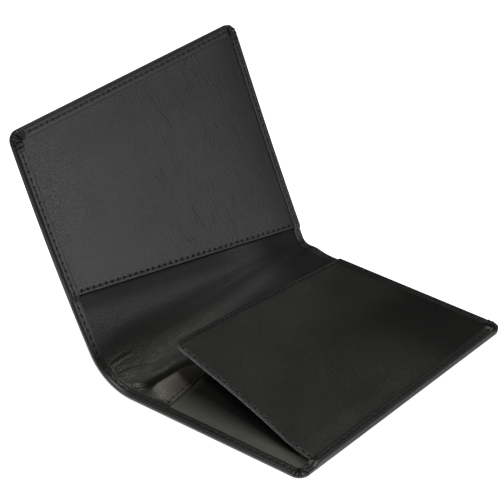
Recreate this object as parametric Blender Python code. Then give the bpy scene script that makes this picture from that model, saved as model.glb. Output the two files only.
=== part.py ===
"""Travel document wallet, lying half open on its right cover.

Every sheet is modelled flat, as it was cut: u runs across the wallet from the fold line,
positive over the right cover, v runs along the spine from the near edge, and w is the height
above the outside of the leather. fold() then bends the flat wallet into its half open shape.
The origin is on the underside, at the middle of the right cover. Metres, +Z up.
"""

import math

import bmesh
import bpy
from mathutils import Matrix, Vector

# Covers: one cover's size, its rounded corners and its turned edge
COVER_WIDTH = 0.106
COVER_HEIGHT = 0.140
CORNER_RADIUS = 0.0045
EDGE_TURN = 0.0045
RIM_ROUNDING = 0.0005

# Sheet thicknesses
OUTER_LEATHER = 0.0007
TURNED_LEATHER = 0.0006
STIFFENER = 0.0004
LINING = 0.0004
POCKET_LEATHER = 0.00055
FLAP_LINING = 0.00035
FLAP_LEATHER = 0.0005
LAYER_GAP = 0.00025

# Where a sheet steps up from under the turned edge to lie over the stiffener
STEP_CLEARANCE = 0.0003
STEP_LENGTH = 0.0022
EDGE_CLEARANCE = 0.0003

# Fold: the bend is wide at the near edge and tight at the far edge
BEND_RADIUS_NEAR = 0.02225
BEND_RADIUS_FAR = 0.0054
BEND_ANGLE_NEAR = math.radians(62.2)
BEND_ANGLE_FAR = math.radians(65.1)
BEND_START_NEAR = 0.01665
BEND_START_FAR = 0.0037
CURL_NEAR = math.radians(5.6)
CURL_FAR = math.radians(3.0)

# Spine: the strip between the two hinge lines
SPINE_WIDTH = 0.009
HINGE_GAP = 0.0003

# Left pocket: its mouth slants across the cover
LEFT_MOUTH_NEAR = 0.0327
LEFT_MOUTH_FAR = 0.0078
LEFT_BOARD_START = 0.0095

# Inner lining: its sewn hem slants across the right cover, over the edge of the base lining
RIGHT_HEM_NEAR = 0.0344
RIGHT_HEM_FAR = 0.0171
HEM_STEP_START = 0.0095
HEM_STEP_END = 0.0065
BASE_LINING_OVERLAP = 0.0062
RIGHT_BOARD_OVERLAP = 0.0055

# Flap pocket: near edge, slanting spine edge, and the diagonal that its free corner bends on
FLAP_NEAR_EDGE = 0.011
FLAP_SPINE_NEAR = 0.027
FLAP_SPINE_FAR = 0.019
FLAP_CORNER_RADIUS = 0.0025
FLAP_SEAM_GAP = 0.0003
FLAP_LIFT = math.radians(22.0)
FLAP_LINING_INSET = 0.0006

# Thread
STITCH_PITCH = 0.0034
STITCH_WIDTH = 0.0005
STITCH_HEIGHT = 0.0003
STITCH_CLEARANCE = 0.0002
DIP_SHARE = 0.35
RIM_SEAM_INSET = 0.0024
FLAP_SEAM_END = 0.0065
HEM_SEAM_INSET = 0.0019
FLAP_SEAM_INSET = 0.0020
BAR_TACK_LENGTH = 0.0030
BAR_TACK_WIDTH = 0.0012
BAR_TACK_HEIGHT = 0.0004

# Heights of the layers that follow from the thicknesses
FIRST_LAYER = OUTER_LEATHER + LAYER_GAP
STEP_HEIGHT = STIFFENER + LAYER_GAP
SECOND_LAYER = FIRST_LAYER + LINING + LAYER_GAP
RIM_UNDERSIDE = SECOND_LAYER + POCKET_LEATHER + LAYER_GAP
RIM_TOP = RIM_UNDERSIDE + TURNED_LEATHER
STEP_START = EDGE_TURN + STEP_CLEARANCE
STEP_END = STEP_START + STEP_LENGTH
SHEET_INSET = OUTER_LEATHER + EDGE_CLEARANCE
FLAP_LEVEL = SECOND_LAYER + STEP_HEIGHT
FLAP_LEATHER_LEVEL = FLAP_LEVEL + FLAP_LINING + LAYER_GAP
FLAP_TOP = FLAP_LEATHER_LEVEL + FLAP_LEATHER
HINGE_U = SPINE_WIDTH / 2
HALF_GAP = HINGE_GAP / 2

# Faces along each stretch of a sheet
BODY_ROWS = 4
BEND_COLUMNS = 5
FLAT_COLUMNS = 3
SPINE_COLUMNS = 3
HEM_COLUMNS = 6
HEAD_COLUMNS = 2
PANEL_COLUMNS = 4
RIGHT_BOARD_COLUMNS = 2
LEFT_BOARD_COLUMNS = 5
FLAP_CORNER_STEPS = 4
RIM_CORNER_STEPS = 3

RIGHT = 1
LEFT = -1
MERGE = 1e-6


def between(near, far, v):
    """Value at v of a size that changes evenly from the near edge to the far edge."""
    return near + (far - near) * v / COVER_HEIGHT


def fold(u, v, w):
    """Place in the half open wallet of the flat point u, v, w."""
    radius = between(BEND_RADIUS_NEAR, BEND_RADIUS_FAR, v)
    angle = between(BEND_ANGLE_NEAR, BEND_ANGLE_FAR, v)
    curl = between(CURL_NEAR, CURL_FAR, v)
    start = between(BEND_START_NEAR, BEND_START_FAR, v)
    depth = RIM_TOP - w
    past = start - u
    turned = 0.0
    x = u
    z = RIM_TOP
    if past > 0:
        turned = min(past / radius, angle)
        x = start - radius * math.sin(turned)
        z = RIM_TOP + radius * (1 - math.cos(turned))
    along = past - radius * angle
    if along > 0:
        rate = curl / (COVER_WIDTH + start - radius * angle)
        turned = angle + rate * along
        x -= (math.sin(turned) - math.sin(angle)) / rate
        z += (math.cos(angle) - math.cos(turned)) / rate
    x -= depth * math.sin(turned)
    z -= depth * math.cos(turned)
    return Vector((x - COVER_WIDTH / 2, v - COVER_HEIGHT / 2, z))


def hinge_point(u):
    """Middle of the hinge line at u, on the inside of the wallet."""
    near = fold(u, 0, RIM_TOP)
    far = fold(u, COVER_HEIGHT, RIM_TOP)
    return (near + far) / 2


def left_mouth(v):
    """Distance of the left pocket's mouth from the fold line."""
    return between(LEFT_MOUTH_NEAR, LEFT_MOUTH_FAR, v)


def right_hem(v):
    """Distance of the inner lining's hem from the fold line."""
    return between(RIGHT_HEM_NEAR, RIGHT_HEM_FAR, v)


def flap_near_outer():
    """Flat place of the flap's corner at the near end of the outer edge."""
    return Vector((COVER_WIDTH - EDGE_TURN - FLAP_SEAM_GAP, FLAP_NEAR_EDGE, 0))


def flap_far_spine():
    """Flat place of the flap's corner at the far end of its spine edge."""
    return Vector((FLAP_SPINE_FAR, COVER_HEIGHT - EDGE_TURN - FLAP_SEAM_GAP, 0))


def flap_near_spine():
    """Flat place of the flap's free corner."""
    return Vector((FLAP_SPINE_NEAR, FLAP_NEAR_EDGE, 0))


def diagonal():
    """Unit vector along the flap's bending line, from the near outer to the far spine corner."""
    return (flap_far_spine() - flap_near_outer()).normalized()


def towards_free_corner():
    """Unit vector square to the flap's bending line, towards its free corner."""
    along = diagonal()
    across = Vector((-along.y, along.x, 0))
    if across.dot(flap_near_spine() - flap_near_outer()) < 0:
        across.negate()
    return across


def rise(inset):
    """0 under the turned edge, 1 over the stiffener, and between them on the step."""
    return min(max((inset - STEP_START) / STEP_LENGTH, 0.0), 1.0)


def rim_inset(a, v):
    """Distance of a flat point from the nearest edge of its cover."""
    return min(v, COVER_HEIGHT - v, COVER_WIDTH - a)


def side_inset(v):
    """Distance of a flat point from the nearer of the near and far edges."""
    return min(v, COVER_HEIGHT - v)


def rows_between(lines):
    """Row positions along the spine: the lines in from the near edge, even rows, the far lines."""
    first = lines[-1]
    last = COVER_HEIGHT - first
    middle = [first + (last - first) * k / BODY_ROWS for k in range(1, BODY_ROWS)]
    return list(lines) + middle + [COVER_HEIGHT - line for line in reversed(lines)]


def even_columns(first, last, count):
    """Column functions spaced evenly from first(v) towards last(v), without last."""
    def column(share):
        return lambda v: first(v) + (last(v) - first(v)) * share
    return [column(k / count) for k in range(count)]


def fixed(value):
    """Column at one distance from the fold line."""
    return lambda v: value


def corner_place(rings, from_outer, from_side):
    """Distances from the outer edge and from the side edge of a point of a rounded corner."""
    last = len(rings) - 1
    ring = min(from_outer, from_side)
    centre = rings[last]
    if ring == last:
        return centre, centre
    steps = last - from_outer if from_side == ring else last - ring + from_side - ring
    angle = math.radians(90) * steps / (2 * (last - ring))
    radius = centre - rings[ring]
    return centre - radius * math.sin(angle), centre - radius * math.cos(angle)


def lay_sheet(bm, columns, rings, rows):
    """Adds a flat sheet of quads. Rings are the insets of the lines round a rounded outer rim;
    without rings the sheet ends at its last column."""
    across = len(columns) + len(rings)
    bmesh.ops.create_grid(bm, x_segments=across - 1, y_segments=len(rows) - 1, size=0.5)
    column_layer = bm.verts.layers.int.new("column")
    row_layer = bm.verts.layers.int.new("row")
    for vert in bm.verts:
        i = round((vert.co.x + 0.5) * (across - 1))
        j = round((vert.co.y + 0.5) * (len(rows) - 1))
        vert[column_layer] = i
        vert[row_layer] = j
        v = rows[j]
        if i < len(columns):
            vert.co = (columns[i](v), v, 0)
            continue
        from_outer = across - 1 - i
        from_side = min(j, len(rows) - 1 - j)
        if from_side >= len(rings):
            vert.co = (COVER_WIDTH - rings[from_outer], v, 0)
            continue
        outer, side = corner_place(rings, from_outer, from_side)
        near = j < len(rows) / 2
        vert.co = (COVER_WIDTH - outer, side if near else COVER_HEIGHT - side, 0)
    return column_layer, row_layer


def thicken(bm, low, high):
    """Makes the sheet a slab between the heights low(a, v) and high(a, v)."""
    sheet = bm.faces[:]
    for vert in bm.verts:
        vert.co.z = low(vert.co.x, vert.co.y)
    grown = bmesh.ops.extrude_face_region(bm, geom=sheet)["geom"]
    for vert in grown:
        if isinstance(vert, bmesh.types.BMVert):
            vert.co.z = high(vert.co.x, vert.co.y)
    return [face for face in grown if isinstance(face, bmesh.types.BMFace)]


def pull_faces(bm, faces, place):
    """Extrudes faces of a closed piece, moving their points to place(x, y, z)."""
    grown = bmesh.ops.extrude_face_region(bm, geom=faces)["geom"]
    bmesh.ops.delete(bm, geom=faces, context="FACES")
    for vert in grown:
        if isinstance(vert, bmesh.types.BMVert):
            vert.co = place(*vert.co)
    return [face for face in grown if isinstance(face, bmesh.types.BMFace)]


def leather(name, colour, roughness):
    """Material with the piece's colour and roughness."""
    material = bpy.data.materials.new(name)
    material.use_nodes = True
    shader = material.node_tree.nodes["Principled BSDF"]
    shader.inputs["Base Color"].default_value = (*colour, 1.0)
    shader.inputs["Roughness"].default_value = roughness
    shader.inputs["Metallic"].default_value = 0.0
    material.diffuse_color = (*colour, 1.0)
    return material


def finish_object(bm, name, material, axis=None):
    """Makes the object, with its origin at the joint's empty that it hangs on."""
    bmesh.ops.remove_doubles(bm, verts=bm.verts[:], dist=MERGE)
    bmesh.ops.recalc_face_normals(bm, faces=bm.faces[:])
    mesh = bpy.data.meshes.new(name)
    bm.to_mesh(mesh)
    bm.free()
    mesh.materials.append(material)
    piece = bpy.data.objects.new(name, mesh)
    bpy.context.scene.collection.objects.link(piece)
    if axis:
        mesh.transform(Matrix.Translation(-world_place(axis)))
        piece.parent = axis
    return piece


def fold_all(bm, side):
    """Bends every point of a flat piece of one cover into the half open wallet."""
    for vert in bm.verts:
        vert.co = fold(side * vert.co.x, vert.co.y, vert.co.z)


def world_place(empty):
    """World place of a joint's empty, which may hang on another."""
    place = empty.location.copy()
    if empty.parent:
        place += world_place(empty.parent)
    return place


def joint_empty(name, place, parent=None):
    """Empty at a joint's axis."""
    empty = bpy.data.objects.new(name, None)
    empty.location = place
    if parent:
        empty.parent = parent
        empty.location = place - world_place(parent)
    bpy.context.scene.collection.objects.link(empty)
    return empty


def plate(name, side, columns, rings, rows, low, high, material, axis=None):
    """Leather or board sheet of one cover, as a closed slab."""
    bm = bmesh.new()
    lay_sheet(bm, columns, rings, rows)
    thicken(bm, low, high)
    fold_all(bm, side)
    return finish_object(bm, name, material, axis)


def turned_cover(name, side, columns, rounded, material, axis=None):
    """Outer leather with its edge turned in: a base, a rim wall and a lip over the inside."""
    wall = OUTER_LEATHER
    middle = (wall + CORNER_RADIUS) / 2
    rings = [0.0, wall, middle, CORNER_RADIUS]
    rows = rows_between(rings)
    bm = bmesh.new()
    column_layer, row_layer = lay_sheet(bm, columns, rings if rounded else [], rows)
    last_column = max(vert[column_layer] for vert in bm.verts)
    last_row = len(rows) - 1

    def on_rim(vert):
        outer = rounded and vert[column_layer] == last_column
        return outer or vert[row_layer] in (0, last_row)

    def on_wall_line(vert):
        if rounded and vert[column_layer] > last_column - 1:
            return False
        outer = rounded and vert[column_layer] == last_column - 1
        return outer or vert[row_layer] in (1, last_row - 1)

    def pulled_in(x, y, inset):
        x = min(x, COVER_WIDTH - inset) if rounded else x
        return x, min(max(y, inset), COVER_HEIGHT - inset)

    top = thicken(bm, lambda a, v: 0.0, lambda a, v: wall)
    for vert in bm.verts:
        if on_rim(vert) and vert.co.z < wall / 2:
            vert.co.xy = pulled_in(vert.co.x, vert.co.y, RIM_ROUNDING)
    band = [f for f in top if all(on_rim(v) or on_wall_line(v) for v in f.verts)]
    band = [f for f in band if any(on_rim(v) for v in f.verts)]
    for height in (RIM_UNDERSIDE, RIM_TOP):
        band = pull_faces(bm, band, lambda x, y, z: (x, y, height))
    for face in band:
        for vert in face.verts:
            if on_rim(vert):
                vert.co.xy = pulled_in(vert.co.x, vert.co.y, RIM_ROUNDING)
    lip = [
        face
        for face in bm.faces
        if all(on_wall_line(v) and v.co.z > RIM_UNDERSIDE - MERGE for v in face.verts)
    ]
    pull_faces(bm, lip, lambda x, y, z: (*pulled_in(x, y, EDGE_TURN), z))
    fold_all(bm, side)
    return finish_object(bm, name, material, axis)


def flat_polygon(name, outline, low, high, material, axis=None, turn=None):
    """Flat sheet over the right cover, cut to an outline and raised by an optional turn."""
    bm = bmesh.new()
    corners = [bm.verts.new((x, y, low)) for x, y in outline]
    face = bm.faces.new(corners)
    grown = bmesh.ops.extrude_face_region(bm, geom=[face])["geom"]
    for vert in grown:
        if isinstance(vert, bmesh.types.BMVert):
            vert.co.z = high
    fold_all(bm, RIGHT)
    if turn:
        bmesh.ops.transform(bm, matrix=turn, verts=bm.verts[:])
    return finish_object(bm, name, material, axis)


def cut_away(bm, place, normal):
    """Cuts off what lies beyond a plane and closes the cut."""
    everything = bm.verts[:] + bm.edges[:] + bm.faces[:]
    bmesh.ops.bisect_plane(
        bm, geom=everything, dist=MERGE, plane_co=place, plane_no=normal, clear_outer=True
    )
    open_edges = [edge for edge in bm.edges if edge.is_boundary]
    bmesh.ops.holes_fill(bm, edges=open_edges)


def seam_points(corners, spacing):
    """Evenly spaced points along the straight runs between the corners."""
    lengths = [(b - a).length for a, b in zip(corners, corners[1:])]
    total = sum(lengths)
    count = max(2 * round(total / (2 * spacing)), 2)
    points = []
    for k in range(count + 1):
        left = total * k / count
        run = 0
        while run < len(lengths) - 1 and left > lengths[run]:
            left -= lengths[run]
            run += 1
        points.append(corners[run].lerp(corners[run + 1], min(left / lengths[run], 1.0)))
    return points


def thread(name, side, corners, surface, material, axis=None, turn=None):
    """Sewing thread along a seam: one strand that swells at each stitch and dips at each hole."""
    points = seam_points(corners, STITCH_PITCH / 2)
    bm = bmesh.new()
    sections = []
    for k, point in enumerate(points):
        before = points[max(k - 1, 0)]
        after = points[min(k + 1, len(points) - 1)]
        along = (after - before).normalized()
        sideways = Vector((-along.y, along.x, 0)) * STITCH_WIDTH / 2
        share = 1.0 if k % 2 else DIP_SHARE
        low = surface(point.x, point.y) + STITCH_CLEARANCE
        foot = Vector((point.x, point.y, low))
        top = foot + Vector((0, 0, STITCH_HEIGHT * share))
        places = (foot - sideways * share, foot + sideways * share, top)
        sections.append([bm.verts.new(place) for place in places])
    sides = len(sections[0])
    for first, second in zip(sections, sections[1:]):
        for k in range(sides):
            n = (k + 1) % sides
            bm.faces.new((first[k], first[n], second[n], second[k]))
    bm.faces.new(sections[0])
    bm.faces.new(sections[-1])
    fold_all(bm, side)
    if turn:
        bmesh.ops.transform(bm, matrix=turn, verts=bm.verts[:])
    return finish_object(bm, name, material, axis)


def on_rim_top(a, v):
    """Height of the turned edge's top."""
    return RIM_TOP


def rim_seam(first):
    """Corners of the seam round the three free edges of a cover, from the fold line's side."""
    inset = RIM_SEAM_INSET
    reach = max(CORNER_RADIUS - inset, 0.0)
    near = [Vector((first, inset, 0))]
    for k in range(RIM_CORNER_STEPS + 1):
        angle = math.radians(90) * k / RIM_CORNER_STEPS
        a = COVER_WIDTH - inset - reach * (1 - math.sin(angle))
        near.append(Vector((a, inset + reach * (1 - math.cos(angle)), 0)))
    far = [Vector((point.x, COVER_HEIGHT - point.y, 0)) for point in reversed(near)]
    return near + far


def outer_columns(first, last):
    """Columns of a cover's outer leather, closer together where the wallet bends."""
    bend = BEND_START_NEAR
    curved = even_columns(first, fixed(bend), BEND_COLUMNS)
    flat = even_columns(fixed(bend), last, FLAT_COLUMNS)
    return curved + flat


def build_right_cover(colours):
    """The cover that lies on the table: leather, board, linings and the fixed part of the flap."""
    seam = fixed(HINGE_U + HALF_GAP)
    turned_cover(
        "right_outer_leather",
        RIGHT,
        outer_columns(seam, fixed(COVER_WIDTH - CORNER_RADIUS)),
        True,
        colours["outer"],
    )

    def board_start(v):
        return right_hem(v) - RIGHT_BOARD_OVERLAP

    board_inset = STEP_END + STEP_CLEARANCE
    board_end = fixed(COVER_WIDTH - board_inset)
    plate(
        "right_stiffener",
        RIGHT,
        even_columns(board_start, board_end, RIGHT_BOARD_COLUMNS) + [board_end],
        [],
        rows_between([board_inset]),
        lambda a, v: FIRST_LAYER,
        lambda a, v: FIRST_LAYER + STIFFENER,
        colours["board"],
    )

    def base_start(v):
        return right_hem(v) - BASE_LINING_OVERLAP

    def base_low(a, v):
        return FIRST_LAYER + STEP_HEIGHT * rise(rim_inset(a, v))

    rings = [SHEET_INSET, CORNER_RADIUS]
    rows = rows_between(rings + [STEP_START, STEP_END])
    steps = [fixed(COVER_WIDTH - STEP_END), fixed(COVER_WIDTH - STEP_START)]
    plate(
        "right_base_lining",
        RIGHT,
        even_columns(base_start, steps[0], FLAT_COLUMNS) + steps,
        rings,
        rows,
        base_low,
        lambda a, v: base_low(a, v) + LINING,
        colours["lining"],
    )

    def hem_rise(a, v):
        climb = (HEM_STEP_START - (right_hem(v) - a)) / (HEM_STEP_START - HEM_STEP_END)
        return rise(side_inset(v)) * min(max(climb, 0.0), 1.0)

    def hem_low(a, v):
        return SECOND_LAYER + STEP_HEIGHT * hem_rise(a, v)

    def foot(v):
        return right_hem(v) - HEM_STEP_START

    def head(v):
        return right_hem(v) - HEM_STEP_END

    plate(
        "inner_lining_right_hem",
        RIGHT,
        even_columns(seam, foot, HEM_COLUMNS) + [foot, head, right_hem],
        [],
        rows_between([SHEET_INSET, CORNER_RADIUS, STEP_START, STEP_END]),
        hem_low,
        lambda a, v: hem_low(a, v) + LINING,
        colours["lining"],
    )

    top = COVER_HEIGHT - STEP_END
    start = Vector((right_hem(STEP_END) - HEM_SEAM_INSET, STEP_END, 0))
    end = Vector((right_hem(top) - HEM_SEAM_INSET, top, 0))
    surface = SECOND_LAYER + STEP_HEIGHT + LINING
    thread(
        "inner_lining_hem_thread", RIGHT, [start, end], lambda a, v: surface, colours["thread"]
    )
    seam_line = rim_seam(HINGE_U + HINGE_GAP)
    thread("right_edge_thread", RIGHT, seam_line, on_rim_top, colours["thread"])
    build_fixed_flap(colours)


def build_fixed_flap(colours):
    """The part of the flap pocket that stays flat, sewn under the turned edge."""
    across = towards_free_corner()
    line = flap_near_outer() - across * FLAP_SEAM_GAP / 2
    rings = [SHEET_INSET, CORNER_RADIUS]
    steps = [fixed(COVER_WIDTH - STEP_END), fixed(COVER_WIDTH - STEP_START)]

    def leather_low(a, v):
        share = rise(rim_inset(a, v))
        return SECOND_LAYER + (FLAP_LEATHER_LEVEL - SECOND_LAYER) * share

    bm = bmesh.new()
    lay_sheet(
        bm, [fixed(FLAP_SPINE_FAR)] + steps, rings, rows_between(rings + [STEP_START, STEP_END])
    )
    thicken(bm, leather_low, lambda a, v: leather_low(a, v) + FLAP_LEATHER)
    cut_away(bm, line, across)
    cut_away(bm, Vector((0, FLAP_NEAR_EDGE, 0)), Vector((0, -1, 0)))
    fold_all(bm, RIGHT)
    finish_object(bm, "flap_leather", colours["flap"])

    inset = STEP_END + FLAP_LINING_INSET
    outer = COVER_WIDTH - inset
    far = COVER_HEIGHT - inset
    along = diagonal()
    at_outer = line + along * (outer - line.x) / along.x
    at_far = line + along * (far - line.y) / along.y
    outline = [(at_outer.x, at_outer.y), (outer, far), (at_far.x, at_far.y)]
    flat_polygon(
        "flap_lining", outline, FLAP_LEVEL, FLAP_LEVEL + FLAP_LINING, colours["lining"]
    )

    bm = bmesh.new()
    size = Matrix.Diagonal((BAR_TACK_LENGTH, BAR_TACK_WIDTH, BAR_TACK_HEIGHT, 1.0))
    low = RIM_TOP + STITCH_CLEARANCE + STITCH_HEIGHT + STITCH_CLEARANCE
    place = (COVER_WIDTH - EDGE_TURN / 2, FLAP_NEAR_EDGE, low + BAR_TACK_HEIGHT / 2)
    bmesh.ops.create_cube(bm, size=1.0, matrix=Matrix.Translation(place) @ size)
    fold_all(bm, RIGHT)
    finish_object(bm, "flap_bar_tack", colours["thread"])


def free_corner_outline(inset):
    """Outline of the flap's free corner, drawn in by an inset from its two open edges."""
    across = towards_free_corner()
    near_outer = flap_near_outer()
    far_spine = flap_far_spine()
    corner = flap_near_spine()
    spine_run = (far_spine - corner).normalized()
    off_spine = Vector((spine_run.y, -spine_run.x, 0)) * inset
    corner = corner + off_spine
    corner += spine_run * inset / spine_run.y
    line = near_outer + across * FLAP_SEAM_GAP / 2
    along = diagonal()
    at_near = line + along * (corner.y - line.y) / along.y
    side = far_spine + off_spine
    crossing = (side - line).cross(spine_run).z / along.cross(spine_run).z
    at_far = line + along * crossing
    radius = FLAP_CORNER_RADIUS
    slant = math.atan2(spine_run.x, spine_run.y)
    half = (math.radians(90) + slant) / 2
    setback = radius * math.tan(math.radians(90) - half)
    first = corner + spine_run * setback
    last = corner + Vector((setback, 0, 0))
    middle = last + Vector((0, radius, 0))
    outline = [(at_far.x, at_far.y), (first.x, first.y)]
    turn = math.radians(180) - 2 * half
    for k in range(1, FLAP_CORNER_STEPS):
        angle = math.radians(-90) - turn * (1 - k / FLAP_CORNER_STEPS)
        outline.append((middle.x + radius * math.cos(angle), middle.y + radius * math.sin(angle)))
    outline += [(last.x, last.y), (at_near.x, at_near.y)]
    return outline


def build_flap_corner(colours, axis):
    """The free corner of the flap pocket, which bends up on the flap's diagonal."""
    along = diagonal()
    across = towards_free_corner()
    upward = along.cross(Vector((0, 0, 1))).dot(across) < 0
    angle = FLAP_LIFT if upward else -FLAP_LIFT
    move = Matrix.Translation(axis.location)
    turn = move @ Matrix.Rotation(angle, 4, along) @ move.inverted()
    flat_polygon(
        "flap_corner_leather",
        free_corner_outline(0.0),
        FLAP_LEATHER_LEVEL,
        FLAP_TOP,
        colours["flap"],
        axis,
        turn,
    )
    flat_polygon(
        "flap_corner_lining",
        free_corner_outline(FLAP_LINING_INSET),
        FLAP_LEVEL,
        FLAP_LEVEL + FLAP_LINING,
        colours["lining"],
        axis,
        turn,
    )
    corner = flap_near_spine()
    run = (flap_far_spine() - corner).normalized()
    start = corner + Vector((FLAP_SEAM_INSET / run.y, 0, 0)) + run * FLAP_SEAM_INSET
    reach = (flap_far_spine() - corner).length - FLAP_SEAM_END - FLAP_SEAM_INSET
    last = Vector((flap_near_outer().x - FLAP_SEAM_END, start.y, 0))
    seam_line = [start + run * reach, start, last]
    thread(
        "flap_edge_thread",
        RIGHT,
        seam_line,
        lambda a, v: FLAP_TOP,
        colours["thread"],
        axis,
        turn,
    )


def build_spine(colours, axis):
    """The leather, lining and thread between the two hinge lines."""
    first = fixed(-HINGE_U + HALF_GAP)
    last = fixed(HINGE_U - HALF_GAP)
    columns = even_columns(first, last, SPINE_COLUMNS) + [last]
    turned_cover("spine_outer_leather", RIGHT, columns, False, colours["outer"], axis)
    plate(
        "inner_lining_spine",
        RIGHT,
        columns,
        [],
        rows_between([SHEET_INSET, CORNER_RADIUS, STEP_START, STEP_END]),
        lambda a, v: SECOND_LAYER,
        lambda a, v: SECOND_LAYER + LINING,
        colours["lining"],
        axis,
    )
    for place, v in (("near", RIM_SEAM_INSET), ("far", COVER_HEIGHT - RIM_SEAM_INSET)):
        end = HINGE_U - HINGE_GAP
        seam_line = [Vector((-end, v, 0)), Vector((end, v, 0))]
        name = f"spine_{place}_thread"
        thread(name, RIGHT, seam_line, on_rim_top, colours["thread"], axis)


def build_left_cover(colours, axis):
    """The raised cover: leather, board, the inner lining's left part and the slip pocket."""
    seam = fixed(HINGE_U + HALF_GAP)
    turned_cover(
        "left_outer_leather",
        LEFT,
        outer_columns(seam, fixed(COVER_WIDTH - CORNER_RADIUS)),
        True,
        colours["outer"],
        axis,
    )
    board_inset = STEP_END + STEP_CLEARANCE
    board_end = fixed(COVER_WIDTH - board_inset)
    plate(
        "left_stiffener",
        LEFT,
        even_columns(fixed(LEFT_BOARD_START), board_end, LEFT_BOARD_COLUMNS) + [board_end],
        [],
        rows_between([board_inset]),
        lambda a, v: FIRST_LAYER,
        lambda a, v: FIRST_LAYER + STIFFENER,
        colours["board"],
        axis,
    )

    def foot(v):
        return left_mouth(v) - LAYER_GAP

    def head(v):
        return (HINGE_U + HALF_GAP + foot(v)) / 2

    def lining_low(a, v):
        free = (foot(v) - a) / (foot(v) - head(v))
        share = max(rise(rim_inset(a, v)), min(max(free, 0.0), 1.0))
        return FIRST_LAYER + STEP_HEIGHT * share

    rings = [SHEET_INSET, CORNER_RADIUS]
    rows = rows_between(rings + [STEP_START, STEP_END])
    steps = [fixed(COVER_WIDTH - STEP_END), fixed(COVER_WIDTH - STEP_START)]
    beside_mouth = even_columns(seam, head, HEAD_COLUMNS) + [head, foot]
    under_pocket = even_columns(left_mouth, steps[0], PANEL_COLUMNS) + steps
    plate(
        "inner_lining_left",
        LEFT,
        beside_mouth + under_pocket,
        rings,
        rows,
        lining_low,
        lambda a, v: lining_low(a, v) + LINING,
        colours["lining"],
        axis,
    )

    def pocket_low(a, v):
        return SECOND_LAYER + STEP_HEIGHT * rise(rim_inset(a, v))

    plate(
        "left_pocket_leather",
        LEFT,
        under_pocket,
        rings,
        rows,
        pocket_low,
        lambda a, v: pocket_low(a, v) + POCKET_LEATHER,
        colours["pocket"],
        axis,
    )
    top = COVER_HEIGHT - STEP_END
    start = Vector((left_mouth(STEP_END) + HEM_SEAM_INSET, STEP_END, 0))
    end = Vector((left_mouth(top) + HEM_SEAM_INSET, top, 0))
    surface = SECOND_LAYER + STEP_HEIGHT + POCKET_LEATHER
    thread(
        "left_pocket_hem_thread",
        LEFT,
        [start, end],
        lambda a, v: surface,
        colours["thread"],
        axis,
    )
    seam_line = rim_seam(HINGE_U + HINGE_GAP)
    thread("left_edge_thread", LEFT, seam_line, on_rim_top, colours["thread"], axis)


def main():
    """Builds the wallet."""
    for old in list(bpy.data.objects):
        bpy.data.objects.remove(old, do_unlink=True)
    colours = {
        "outer": leather("outer_leather", (0.018, 0.018, 0.019), 0.42),
        "pocket": leather("pocket_leather", (0.022, 0.023, 0.025), 0.45),
        "flap": leather("flap_leather_finish", (0.016, 0.016, 0.015), 0.42),
        "lining": leather("lining_leather", (0.026, 0.025, 0.022), 0.5),
        "board": leather("stiffener_board", (0.12, 0.11, 0.10), 0.9),
        "thread": leather("black_thread", (0.010, 0.010, 0.010), 0.6),
    }
    spine_axis = joint_empty("spine_fold_axis", hinge_point(HINGE_U))
    cover_axis = joint_empty("cover_fold_axis", hinge_point(-HINGE_U), spine_axis)
    start = flap_near_outer()
    flap_axis = joint_empty("flap_lift_axis", fold(start.x, start.y, FLAP_TOP))
    build_right_cover(colours)
    build_spine(colours, spine_axis)
    build_left_cover(colours, cover_axis)
    build_flap_corner(colours, flap_axis)


main()
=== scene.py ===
import logging
import math
from collections.abc import Callable
from dataclasses import dataclass
from enum import Enum

import bpy
import numpy as np
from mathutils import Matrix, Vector


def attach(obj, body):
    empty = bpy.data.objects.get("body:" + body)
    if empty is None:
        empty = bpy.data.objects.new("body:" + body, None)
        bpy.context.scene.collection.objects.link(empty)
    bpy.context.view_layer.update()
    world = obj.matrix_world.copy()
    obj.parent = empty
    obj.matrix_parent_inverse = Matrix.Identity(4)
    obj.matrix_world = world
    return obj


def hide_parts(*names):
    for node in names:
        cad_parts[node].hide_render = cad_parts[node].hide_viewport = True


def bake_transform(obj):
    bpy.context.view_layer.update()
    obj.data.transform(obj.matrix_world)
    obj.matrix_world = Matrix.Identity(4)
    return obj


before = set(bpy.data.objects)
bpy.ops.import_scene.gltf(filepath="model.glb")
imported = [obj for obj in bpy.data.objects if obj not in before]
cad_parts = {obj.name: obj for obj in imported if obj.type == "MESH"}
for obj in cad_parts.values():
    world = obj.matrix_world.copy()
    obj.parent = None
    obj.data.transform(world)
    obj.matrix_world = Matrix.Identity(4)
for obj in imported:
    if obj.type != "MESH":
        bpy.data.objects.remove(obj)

# Travel document wallet in smooth black leather, lying half open on its right cover.
# Each sheet is laid out flat, as it was cut: u runs across the wallet from the fold line,
# positive over the right cover, v runs along the spine from the near edge, and w is the height
# above the outside of the leather. WalletShape.fold bends flat places into the half open wallet.
# Sizes are in millimetres, and a side is 1 for the right cover and -1 for the left.

Places = np.ndarray
Pair = tuple[float, float]
Triple = tuple[float, float, float]
Colour = tuple[int, int, int]
Piece = bpy.types.Object
Node = bpy.types.Node
Socket = bpy.types.NodeSocket
Value = float | tuple[float, ...] | Socket
Surface = Callable[[np.ndarray, np.ndarray], np.ndarray]
Bend = Callable[[Places], Places]

log = logging.getLogger("travel_wallet")
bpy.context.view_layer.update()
MM = 0.001
QUARTER_TURN = math.radians(90)
CHART = "flat"
CHART_SCALE = 4.0
CHART_MIDDLE = 0.5
ROUND_ABOVE = math.radians(60)
SMOOTH_BELOW = math.radians(50)
NO_SEAM = 9.0
FOLD_COLUMNS = [0.0, 0.08]
TUCKED_COLUMNS = (6.0, 5.2, 4.6, 4.0, 3.4, 2.8, 2.2, 1.6, 1.0, 0.0)


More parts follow.
